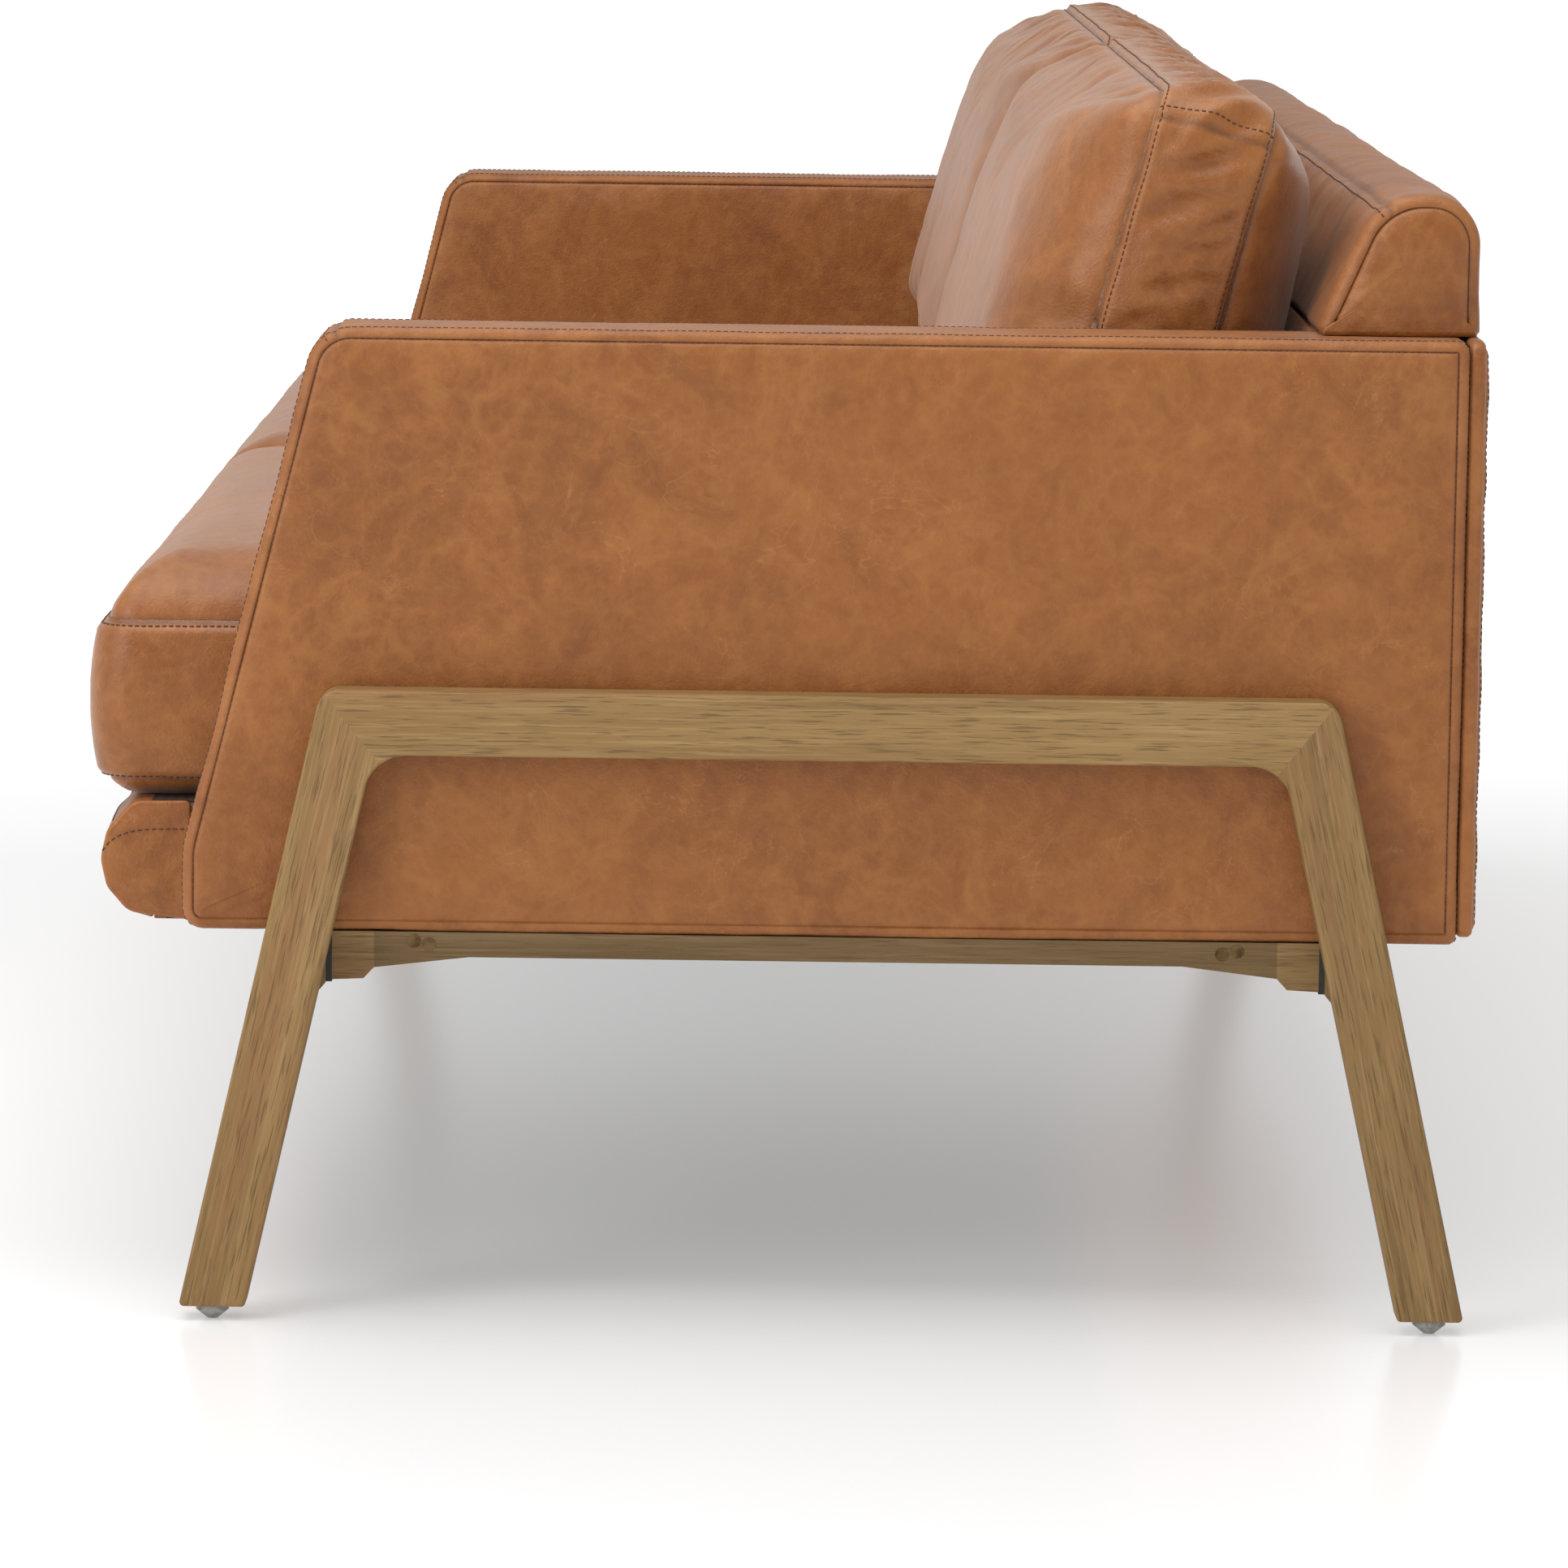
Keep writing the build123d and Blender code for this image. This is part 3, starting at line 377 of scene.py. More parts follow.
def leather(name, seed, bloom, shine=0.0):
    """Cognac hide; the surface's own edge value pales it along seams, and its groove value darkens the seams
    with painted shade.

    Cloudy patches are fractal noise, paler along the borders of wandering cells.  Fine pale creases
    are the lines where a noise crosses its middle value, shown only in some places."""
    hide = Recipe(name)
    shifted = hide.node("ShaderNodeMapping", Vector=hide.place, Location=(seed, seed * 0.7, -seed)).outputs[0]
    cloud = hide.noise(shifted, 3.1, 7, 0.6, 0.5)
    patch = hide.noise(shifted, 15, 7, 0.66, 0.8)
    speckle = hide.noise(shifted, 75, 5, 0.7)
    tan, brown, pale, dark = rgb(139, 81, 29), rgb(126, 71, 24), rgb(158, 101, 47), rgb(106, 58, 19)
    colour = hide.blend(hide.ramp(cloud, 0.36, 0.64), brown, tan)
    colour = hide.blend(hide.ramp(patch, 0.52, 0.74, 0, 0.6), colour, pale)
    colour = hide.blend(hide.ramp(patch, 0.44, 0.26, 0, 0.55), colour, dark)
    colour = hide.blend(hide.ramp(speckle, 0.5, 0.74, 0, 0.5), colour, pale)
    colour = hide.blend(hide.ramp(speckle, 0.45, 0.25, 0, 0.3), colour, dark)
    wander = hide.node("ShaderNodeTexNoise", Vector=shifted, Scale=19.0, Detail=5.0).outputs["Color"]
    drift = hide.node("ShaderNodeVectorMath", {"operation": "SCALE"}, Scale=0.055)
    hide.feed(drift.inputs[0], wander)
    strayed = hide.node("ShaderNodeVectorMath", {"operation": "ADD"})
    hide.feed(strayed.inputs[0], shifted)
    hide.feed(strayed.inputs[1], drift.outputs[0])
    for scale, strength in ((34, 0.4), (85, 0.3)):
        blotch = hide.node("ShaderNodeTexVoronoi", {"feature": "DISTANCE_TO_EDGE"}, Scale=float(scale))
        hide.feed(blotch.inputs["Vector"], strayed.outputs[0])
        rim = hide.ramp(blotch.outputs["Distance"], 0.0, 0.22, strength, 0.0)
        colour = hide.blend(hide.maths("MULTIPLY", rim, hide.ramp(patch, 0.35, 0.6)), colour, pale)
    for scale, width, strength in ((13, 0.006, 0.3), (31, 0.009, 0.26)):
        crease = hide.noise(shifted, scale, 4, 0.55, 1.4)
        apart = hide.maths("ABSOLUTE", hide.maths("SUBTRACT", crease, 0.5), 0.0)
        here = hide.ramp(hide.noise(shifted, scale * 0.6, 2), 0.5, 0.66, 0, strength)
        crossed = hide.maths("MULTIPLY", hide.ramp(apart, 0, width, 1, 0), here)
        colour = hide.blend(crossed, colour, rgb(184, 128, 84))
    edge = hide.node("ShaderNodeAttribute", {"attribute_name": "edge"}).outputs["Fac"]
    groove = hide.node("ShaderNodeAttribute", {"attribute_name": "groove"}).outputs["Fac"]
    worn = hide.maths("MULTIPLY", edge, hide.ramp(patch, 0.3, 0.65, 0.05, 0.5))
    colour = hide.blend(worn, colour, rgb(168, 108, 62))
    # Painted shade: the seam grooves are darkened towards a deep brown.
    colour = hide.blend(hide.maths("MULTIPLY", groove, 0.5), colour, rgb(62, 29, 12))
    cells = hide.node("ShaderNodeTexVoronoi", {"feature": "SMOOTH_F1"}, Vector=shifted, Scale=620.0)
    wrinkle = hide.noise(shifted, 190, 5, 0.6, 0.6)
    hide.relief([(cloud, 0.004), (wrinkle, 0.0006), (cells.outputs["Distance"], 0.00035)], 0.55)
    roughness = hide.ramp(patch, 0.3, 0.7, 0.42 - shine, 0.58 - shine)
    return hide.finish(
        Base_Color=colour,
        Roughness=roughness,
        Specular_IOR_Level=0.42,
        Sheen_Weight=bloom,
        Sheen_Roughness=0.45,
        Sheen_Tint=(1.0, 0.82, 0.72, 1.0),
    )


thread = Recipe("brown_thread")
thread_twist = thread.noise(thread.place, 900, 3)
thread_tone = thread.blend(thread_twist, rgb(58, 28, 13), rgb(92, 50, 26))
brown_thread = thread.finish(Base_Color=thread_tone, Roughness=0.6)

cream_foam = mottled(
    "cream_foam", rgb(214, 200, 158), rgb(238, 228, 196), scale=420, detail=4, depth=0.0006, strength=0.6,
    roughness=0.95,
)


class Outline:
    """A closed outline of straight runs joined by corner arcs, which can be drawn at any inset.

    A run moves inwards by the inset.  An arc touches both its runs, and its radius loses the inset,
    so that each point keeps its place in the row and no two columns cross."""

    def __init__(self, corners, radii, step):
        corners, radii = np.array(corners, float), np.array(radii, float)
        onward = np.roll(corners, -1, 0)
        if np.sum(corners[:, 0] * onward[:, 1] - corners[:, 1] * onward[:, 0]) < 0:
            corners, radii = corners[::-1], radii[::-1]
            onward = np.roll(corners, -1, 0)
        self.corners, self.radii = corners, radii
        length = np.linalg.norm(onward - corners, axis=1)
        self.ahead = (onward - corners) / length[:, None]
        self.inner = np.column_stack([-self.ahead[:, 1], self.ahead[:, 0]])
        self.before = np.roll(self.inner, 1, 0)
        self.turning = np.arccos(np.clip(np.sum(self.inner * self.before, axis=1), -1, 1))
        tangent = radii * np.tan(self.turning / 2)
        self.arc_counts = np.maximum(np.ceil(radii * self.turning / step), 4).astype(int)
        run = length - tangent - np.roll(tangent, -1)
        self.run_counts = np.maximum(np.ceil(run / step), 2).astype(int)

    def ring(self, inset=0.0):
        """Points of the outline at one inset: an arc, then a run, for each corner in turn."""
        mitre = (self.before + self.inner) / (1 + np.sum(self.before * self.inner, axis=1))[:, None]
        corner = self.corners + inset * mitre
        radius = np.maximum(self.radii - inset, 0.0004)
        tangent = radius * np.tan(self.turning / 2)
        came = np.roll(self.ahead, 1, 0)
        parts = []
        for i, (arcs, runs) in enumerate(zip(self.arc_counts, self.run_counts)):
            middle = corner[i] - came[i] * tangent[i] + self.before[i] * radius[i]
            begin = np.arctan2(-self.before[i, 1], -self.before[i, 0])
            angle = begin + self.turning[i] * np.linspace(0, 1, arcs + 1)
            parts.append(middle + radius[i] * np.column_stack([np.cos(angle), np.sin(angle)]))
            after = (i + 1) % len(corner)
            start = corner[i] + self.ahead[i] * tangent[i]
            stop = corner[after] - self.ahead[i] * tangent[after]
            parts.append(start + (stop - start) * np.linspace(0, 1, runs + 1)[1:-1, None])
        return np.vstack(parts)


def rectangle(low, high):
    """Corners of a rectangle, from its lowest corner and its highest."""
    return [tuple(low), (low[0], high[1]), tuple(high), (high[0], low[1])]


def soft_waves(points, seed, wavelength, count=7):
    """A smooth irregular field between about -1 and 1: a sum of plane waves, each bent by another."""
    draw = np.random.default_rng(seed)
    heading = draw.normal(size=(count, points.shape[-1]))
    heading /= np.linalg.norm(heading, axis=1, keepdims=True)
    pace = 2 * np.pi / (wavelength * draw.uniform(0.7, 1.6, count))
    phase = draw.uniform(0, 2 * np.pi, (2, count))
    travel = points @ heading.T
    bent = travel * pace + phase[0] + 0.9 * np.sin(np.roll(travel, 1, -1) * pace * 0.6 + phase[1])
    return np.sin(bent).sum(-1) / count ** 0.5 / 1.2


def solid_mesh(name, points, quads, triangles, finish):
    """A smooth closed mesh object from whole arrays, with its faces turned outwards.

    The sign of the enclosed volume, summed over the faces, says which way they face."""
    a, b, c, d = (points[quads[:, i]] for i in range(4))
    e, f, g = (points[triangles[:, i]] for i in range(3))
    volume = np.sum(a * np.cross(b, c)) + np.sum(a * np.cross(c, d)) + np.sum(e * np.cross(f, g))
    if volume < 0:
        quads, triangles = quads[:, ::-1], triangles[:, ::-1]
    mesh = bpy.data.meshes.new(name)
    mesh.vertices.add(len(points))
    mesh.vertices.foreach_set("co", points.astype(np.float32).ravel())
    corners = np.concatenate([quads.ravel(), triangles.ravel()]).astype(np.int32)
    sizes = np.repeat([4, 3], [len(quads), len(triangles)]).astype(np.int32)
    mesh.loops.add(len(corners))
    mesh.loops.foreach_set("vertex_index", corners)
    mesh.polygons.add(len(sizes))
    mesh.polygons.foreach_set("loop_start", (np.cumsum(sizes) - sizes).astype(np.int32))
    mesh.polygons.foreach_set("loop_total", sizes)
    mesh.polygons.foreach_set("use_smooth", np.ones(len(sizes), bool))
    mesh.update(calc_edges=True)
    mesh.materials.append(finish)
    piece = bpy.data.objects.new(name, mesh)
    bpy.context.scene.collection.objects.link(piece)
    return piece


def closed_piece(name, grid, finish, **marks):
    """A closed mesh object from a grid: its quads, and a fan of triangles over its first and last row.

    Marks are values for each point of the grid, kept as attributes of the mesh."""
    rows, columns = grid.shape[:2]
    points = np.vstack([grid.reshape(-1, 3), grid[0].mean(0)[None], grid[-1].mean(0)[None]])
    here = np.arange(rows * columns).reshape(rows, columns)
    beside = np.roll(here, -1, 1)
    corners = [here[:-1], beside[:-1], beside[1:], here[1:]]
    quads = np.stack([corner.ravel() for corner in corners], axis=1)
    first = np.column_stack([np.full(columns, rows * columns), beside[0], here[0]])
    last = np.column_stack([np.full(columns, rows * columns + 1), here[-1], beside[-1]])
    made = solid_mesh(name, points, quads, np.vstack([first, last]), finish)
    for key, values in marks.items():
        attribute = made.data.attributes.new(key, "FLOAT", "POINT")
        spread = np.concatenate([values.ravel(), [0, 0]])
        attribute.data.foreach_set("value", spread.astype(np.float32))
    return made


def outwards(grid):
    """Unit normals of a closed grid: a step across times a step along, turned to face out."""
    along = np.roll(grid, -1, 1) - np.roll(grid, 1, 1)
    normal = np.cross(np.gradient(grid, axis=0), along)
    normal /= np.maximum(np.linalg.norm(normal, axis=2, keepdims=True), 1e-12)
    return normal * (np.sign(np.sum(normal * (grid - grid.mean((0, 1))))) or 1)


class SewnForm:
    """Two faces and the band between them, sewn edge to edge, as one closed grid.

    Columns run round the outline.  Rows run from the middle of the back face out to its seam, across
    the band, over the front seam and in to the middle of the front face.  A row is the outline at its
    inset, drawn towards the centre by its share, and raised to its height; a face is raised further
    by its crown."""

    def __init__(self, outline, half, roll, band_rows, face_rows, bow=0.0, groove=0.0011):
        turn = np.radians(np.linspace(15, 90, 6))
        sew = np.array([0.0004, 0.0009, 0.0014, 0.0022, 0.0042, 0.008])
        dip = groove * np.array([0.75, 1.0, 0.6, 0.12, 0, 0])
        step = np.linspace(0, 1, face_rows + 1)[1:-1]
        share = 0.25 * step + 0.75 * step ** 1.7
        inset = np.concatenate([roll * (1 - np.cos(turn)), roll + sew, np.full(len(share), roll + sew[-1])])
        dips = np.concatenate([roll * (1 - np.sin(turn)), dip, 0 * share])
        # Painted shade: rows in the seam groove are marked to be darkened.
        groove_shade_mark = np.concatenate([[0, 0, 0, 0, 0, 0.25, 0.85, 0.85, 0.2, 0, 0, 0], 0 * share])
        edge_mark = [0.15, 0.35, 0.55, 0.7, 0.7, 0.5, 0.2, 0.2, 0.5, 0.7, 0.45, 0.2]
        edge_mark = np.concatenate([edge_mark, 0 * share])
        band = np.linspace(-1, 1, band_rows)
        shares = np.concatenate([np.zeros(len(turn) + len(sew)), share])
        on_face = np.concatenate([0 * turn, 1 + 0 * sew, 1 + 0 * share])

        def both(front, middle, sign=1):
            """The back face's rows mirrored, then the band, then the front face's rows."""
            return np.concatenate([sign * front[::-1], middle, front])

        self.height = both(half - dips, band * (half - roll), -1)
        insets = both(inset, -bow * (1 - band ** 2))
        shrink = 1 - both(shares, 0 * band)
        self.on_face = both(on_face, 0 * band)[:, None]
        self.facing = np.sign(self.height)[:, None]
        seam_line = outline.ring(roll + sew[1])
        self.centre = (seam_line.max(0) + seam_line.min(0)) / 2
        self.reach_half = (seam_line.max(0) - seam_line.min(0)) / 2
        rings = np.stack([outline.ring(value) for value in insets])
        self.flat = self.centre + (rings - self.centre) * shrink[:, None, None]
        columns = self.flat.shape[1]
        self.groove = np.repeat(both(groove_shade_mark, 0 * band)[:, None], columns, 1)
        self.edge = np.repeat(both(edge_mark, 0 * band)[:, None], columns, 1)
        self.first_band, self.last_band = len(inset), len(inset) + band_rows - 1
        self.turn, self.edge_rows = turn, len(turn) + len(sew)
        self.seams = (len(inset) - 2 - len(turn), self.last_band + 2 + len(turn))
        off_seam = np.linalg.norm(self.flat - seam_line, axis=2)
        across_band = np.abs(half - np.abs(self.height))[:, None] + roll
        self.reach = np.where(self.on_face > 0, off_seam, across_band)
        run = np.linalg.norm(np.diff(seam_line, axis=0, append=seam_line[:1]), axis=1)
        self.along = np.broadcast_to(np.cumsum(run) - run, self.flat.shape[:2])
        self.spread = (self.flat - self.centre) / self.reach_half

    def grid(self, place, crown=None, back=0.0, front=0.0):
        """Points in the sofa's own frame.  The crown is a rule of place on the face and of distance
        from the seam; back and front are how far each face rises where the crown is one."""
        height = np.broadcast_to(self.height[:, None], self.flat.shape[:2])
        if crown is not None:
            raised = crown(self.spread, self.reach) * self.on_face
            height = height + self.facing * np.where(self.facing > 0, front, back) * raised
        return place(self.flat[..., 0], self.flat[..., 1], height)

    def wrinkled(self, grid, seed, broad, pucker, pull=0.02, wavelength=0.14, spacing=0.021):
        """The grid moved along its normals: broad waves all over, and short folds square to the seams
        that fade as exp of minus distance over the pull length."""
        folds = np.stack([self.along, self.reach * 0.22], axis=-1)
        short = soft_waves(folds, seed + 1, spacing) + 0.6 * soft_waves(folds, seed + 2, spacing * 2.1)
        long = 0.75 * soft_waves(grid, seed, wavelength) + 0.35 * soft_waves(grid, seed + 3, 0.05)
        quiet = 1 - np.exp(-((self.reach / 0.01) ** 2))
        near = np.exp(-self.reach / pull) * (1 - np.exp(-((self.reach / 0.003) ** 2)))
        near *= 0.25 + 0.75 * self.on_face
        return grid + outwards(grid) * (broad * long * quiet + pucker * short * near)[..., None]

    def nearest_column(self, a, b):
        """The column that passes nearest to a point of the panel, at the band."""
        return int(np.argmin(np.linalg.norm(self.flat[self.first_band] - np.array([a, b]), axis=1)))

    def cross_seam(self, grid, column, dip=0.0012):
        """Sink one column of the band, as a seam across it, and darken it with painted shade.

        Returns the path and the normals of the column two further on, where its stitches run."""
        rows = np.arange(self.first_band - len(self.turn) + 1, self.last_band + len(self.turn))
        normal = outwards(grid)
        grid[rows, column] -= normal[rows, column] * dip
        # Painted shade: the cross seam's column is marked to be darkened.
        self.groove[rows, column] = 0.9
        beside = (column + 2) % grid.shape[1]
        return grid[rows, beside], normal[rows, beside]


def declare_soft(piece, node, body):
    """A soft piece rides on a body, and stands for its CAD node where it has one."""
    if node:
        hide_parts(node)
    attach(piece, body)


def padding_of(name, grid, node, body, share=(0.97, 0.94, 0.94)):
    """The foam inside a cover: every third line of its grid, drawn in to a share of each half size."""
    lines = grid[::3, ::3]
    middle = (grid.min((0, 1)) + grid.max((0, 1))) / 2
    foam_body = closed_piece(name, middle + (lines - middle) * share, cream_foam)
    declare_soft(foam_body, node, body)


def grains(path, up, closed=False, radius=0.00055, pitch=0.0046, length=0.0035):
    """Points and faces of stitches along a path: a five-sided grain of rice at each pitch.

    A grain is two rings of five and two tips, laid along the path and half sunk in the surface."""
    if closed:
        path, up = np.vstack([path, path[:1]]), np.vstack([up, up[:1]])
    along = np.concatenate([[0], np.cumsum(np.linalg.norm(np.diff(path, axis=0), axis=1))])
    count = max(int(along[-1] / pitch), 1)
    station = (np.arange(count) + 0.5) * along[-1] / count

    def at(where, values):
        """Values carried along the path, read at the stations."""
        return np.column_stack([np.interp(where, along, values[:, i]) for i in range(3)])

    ahead = at(station + pitch / 3, path) - at(station - pitch / 3, path)
    ahead /= np.maximum(np.linalg.norm(ahead, axis=1, keepdims=True), 1e-12)
    aside = np.cross(at(station, up), ahead)
    aside /= np.maximum(np.linalg.norm(aside, axis=1, keepdims=True), 1e-12)
    axes = np.stack([ahead, aside, np.cross(ahead, aside)], axis=1)
    angle = 2 * np.pi * np.arange(5) / 5
    ring = np.column_stack([np.zeros(5), np.cos(angle) * radius, np.sin(angle) * radius])
    shift, tip = np.array([length * 0.3, 0, 0]), np.array([[length * 0.5, 0, 0]])
    grain = np.vstack([ring - shift, ring + shift, -tip, tip]) + [0, 0, radius * 0.2]
    points = at(station, path)[:, None] + np.einsum("gk,nkj->ngj", grain, axes)
    five, then = np.arange(5), (np.arange(5) + 1) % 5
    quads = np.column_stack([five, then, then + 5, five + 5])
    back_tip = np.column_stack([then, five, np.full(5, 10)])
    front_tip = np.column_stack([five + 5, then + 5, np.full(5, 11)])
    step = 12 * np.arange(count)[:, None, None]
    triangles = np.vstack([back_tip, front_tip]) + step
    return points.reshape(-1, 3), (quads + step).reshape(-1, 4), triangles.reshape(-1, 3)


def stitching(name, lines, body):
    """One object made of the stitches of several seams, which rides on a body."""
    counts = np.cumsum([0] + [len(points) for points, _, _ in lines])
    points = np.vstack([line[0] for line in lines])
    quads = np.vstack([line[1] + base for line, base in zip(lines, counts)])
    triangles = np.vstack([line[2] + base for line, base in zip(lines, counts)])
    made = solid_mesh(name, points, quads, triangles, brown_thread)
    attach(made, body)


def round_stitches(grid, *rows, radius=0.00055, columns=None):
    """Stitches round the outline along some rows of a grid, or along a part of each row."""
    normal = outwards(grid)
    run = slice(None) if columns is None else columns
    return [grains(grid[row, run], normal[row, run], columns is None, radius) for row in rows]


def open_at_foot(form, foot):
    """Leave the seams out along the foot of a form; returns the columns that are sewn."""
    above = form.flat[form.first_band][:, 1] > foot + 0.001
    sewn = slice(int(np.argmax(above)), int(len(above) - np.argmax(above[::-1])))
    form.groove *= above
    form.edge *= 0.3 + 0.7 * above
    return sewn


def sewn_cover(name, form, grid, finish, node, body):
    """The finished leather cover of one upholstered piece."""
    cover = closed_piece(name, grid, finish, edge=form.edge, groove=form.groove)
    declare_soft(cover, node, body)


# ---- arms ----
# Each arm is a padded timber frame in a tight leather cover: two flat side panels and a band that
# runs round between them.  The band rolls over the edge and is sewn flat to the panels, with a
# second row of stitches beside each seam and a butt join across the top of its front.
arm_low, arm_high = np.array(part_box("left_arm_cover"))
arm_rake, arm_heel, arm_pull, cloth_clearance = 0.087, 0.054, 0.0036, 0.0002
arm_outline = Outline(
    [
        tuple(arm_low[1:]),
        (arm_low[1], arm_low[2] + arm_heel),
        (arm_low[1] + arm_rake, arm_high[2]),
        (arm_high[1], arm_high[2]),
        (arm_high[1], arm_low[2]),
    ],
    radii=[0.014, 0.06, 0.03, 0.009, 0.006],
    step=0.004,
)
arm_half, arm_middle = (arm_high[0] - arm_low[0]) / 2, (arm_high[0] + arm_low[0]) / 2
arm_hide = leather("arm_leather", seed=1.3, bloom=0.09)
sides = (("left", 1), ("right", -1))


def shoulder(reach, width):
    """A quarter of an ellipse: nil at the seam, and one from the width inwards."""
    return np.sqrt(1 - (1 - np.clip(reach / width, 0, 1)) ** 2)


def drawn_down(width):
    """The crown of a panel that is drawn down along its seams, and flat from the width inwards."""
    return lambda spread, reach: shoulder(reach, width)


def on_arm(side):
    """The rule that puts an arm's panel coordinates in the sofa's frame."""
    return lambda depth, height, across: np.stack([side * (arm_middle + across), depth, height], axis=-1)


for seed, (side_name, side) in enumerate(sides):
    form = SewnForm(arm_outline, arm_half - 0.0003 - arm_pull, roll=0.0068, band_rows=17, face_rows=24)
    sewn = open_at_foot(form, arm_low[2])
    grid = form.grid(on_arm(side), drawn_down(0.06), back=arm_pull, front=arm_pull)
    grid = form.wrinkled(grid, 10 + seed, broad=0.0008, pucker=0.0007)
    for axis in range(3):
        low, high = arm_low[axis] + cloth_clearance, arm_high[axis] - cloth_clearance
        grid[..., axis] = np.clip(grid[..., axis] * (side if axis == 0 else 1), low, high)
    grid[..., 0] *= side
    join_path, join_up = form.cross_seam(grid, form.nearest_column(arm_low[1] + arm_rake + 0.01, arm_high[2]))
    sewn_cover(f"{side_name}_arm_leather", form, grid, arm_hide, f"{side_name}_arm_cover", "frame")
    padding_of(f"{side_name}_arm_foam", grid, f"{side_name}_arm_padding", "frame", (0.92, 0.97, 0.96))
    back_row, front_row = form.seams
    lines = round_stitches(grid, back_row, front_row, radius=0.0007, columns=sewn)
    lines += round_stitches(grid, back_row + 7, front_row - 7, radius=0.0004, columns=sewn)
    lines += [grains(join_path, join_up, radius=0.0004)]
    stitching(f"{side_name}_arm_stitches", lines, "frame")

# ---- seat cushions ----
# Two loose cushions of foam in a feather wrap: a crowned top and bottom panel, sewn with a stitched
# seam to a tall band that swells between them.  They lie side by side between the arms.
seat_low, seat_high = np.array(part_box("left_seat_cushion_case"))
seat_bow, seat_roll, seat_gap = 0.0042, 0.0075, 0.0001
upper_seam_z, lower_seam_z, sag = 0.4505, 0.3470, 0.012
seat_outline = Outline(
    rectangle(seat_low[:2] + seat_bow, seat_high[:2] - seat_bow),
    radii=[0.028, 0.03, 0.03, 0.028],
    step=0.0055,
)
seat_hide = leather("seat_leather", seed=4.1, bloom=0.34, shine=0.08)


def seat_crown(spread, reach):
    """A round shoulder off the seam, and a low dome over the rest."""
    dome = (1 - spread[..., 0] ** 4) * (1 - spread[..., 1] ** 4)
    return 0.8 * shoulder(reach, 0.085) + 0.2 * np.clip(dome, 0, 1)


def on_seat(side):
    """The rule that puts a seat cushion's panel coordinates in the sofa's frame."""
    middle = (upper_seam_z + lower_seam_z) / 2
    return lambda width, depth, height: np.stack([side * width, depth, middle + height], axis=-1)


for seed, (side_name, side) in enumerate(sides):
    body = f"{side_name}_seat_cushion"
    seat_half = (upper_seam_z - lower_seam_z) / 2
    form = SewnForm(
        seat_outline, seat_half, seat_roll, band_rows=15, face_rows=30, bow=seat_bow, groove=0.002
    )
    rise, fall = seat_high[2] - upper_seam_z, lower_seam_z - seat_low[2]
    grid = form.grid(on_seat(side), seat_crown, back=fall + sag, front=rise)
    grid = form.wrinkled(grid, 30 + seed, broad=0.0014, pucker=0.0006, pull=0.02, wavelength=0.26)
    flush = np.array([seat_gap, seat_gap, 0.0001])
    inside = grid * [side, 1, 1]
    grid = np.clip(inside, seat_low + flush, seat_high - flush) * [side, 1, 1]
    sewn_cover(f"{side_name}_seat_leather", form, grid, seat_hide, f"{body}_case", body)
    padding_of(f"{side_name}_seat_foam", grid, f"{body}_filling", body)
    rows = (form.seams[0] + 4, form.seams[1] - 4)
    stitching(f"{side_name}_seat_stitches", round_stitches(grid, *rows, radius=0.0007), body)

# ---- back cushions ----
# Two loose feather cushions that lean on the back: a plump front panel and a flatter rear one, with
# a gusset between them.  The gusset is longer than its seams, so it gathers into folds across.
loose_low, loose_high = np.array(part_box("left_back_cushion_case"))
loose_lean = np.arctan(0.2655)
loose_foot = np.array([0.2114, 0.507])
loose_height, gusset_half, loose_roll, loose_bow = 0.318, 0.039, 0.007, 0.003
loose_front, loose_rear, gather_depth = 0.079, 0.055, 0.0085
back_slope, back_hip_z, back_face_y = 0.4369, 0.470, 0.2702
loose_outline = Outline(
    rectangle((loose_low[0] + loose_bow + 0.001, 0.0), (loose_high[0] - loose_bow - 0.001, loose_height)),
    radii=[0.022, 0.036, 0.036, 0.022],
    step=0.0045,
)
loose_hide = leather("back_cushion_leather", seed=7.7, bloom=0.34, shine=0.1)


def loose_crown(spread, reach):
    """A round shoulder off the seam, short low down and long towards the top, and a low dome."""
    tall = np.clip(spread[..., 1], -1, 1)
    width = 0.085 + 0.095 * np.clip((tall + 0.3) / 1.3, 0, 1)
    dome = np.clip((1 - spread[..., 0] ** 4) * (1 - (tall + 0.15) ** 4), 0, 1)
    return (0.78 * shoulder(reach, width) + 0.22 * dome) * (1 - 0.1 * np.clip(tall, 0, 1))


def on_back(side):
    """The rule that leans a back cushion's panel coordinates onto the sofa's back."""
    sine, cosine = np.sin(loose_lean), np.cos(loose_lean)

    def place(width, height, front):
        """Width along the sofa, height up the lean, front square to it."""
        depth = loose_foot[0] + height * sine - front * cosine
        return np.stack([side * width, depth, loose_foot[1] + height * cosine + front * sine], axis=-1)

    return place


def face_y(height):
    """Depth of the back's inside face at a height: upright to the hip, then leaning."""
    return back_face_y + np.maximum(height - back_hip_z, 0) * back_slope


def leaning_limits(grid, side):
    """Keep a back cushion above the seat, between its neighbours and in front of the leaning back."""
    inside = np.clip(grid[..., 0] * side, loose_low[0] + 0.0002, loose_high[0] - 0.0002)
    height = np.maximum(grid[..., 2], loose_low[2] + 0.0003)
    return np.stack([inside * side, np.minimum(grid[..., 1], face_y(height) - 0.0006), height], axis=-1)


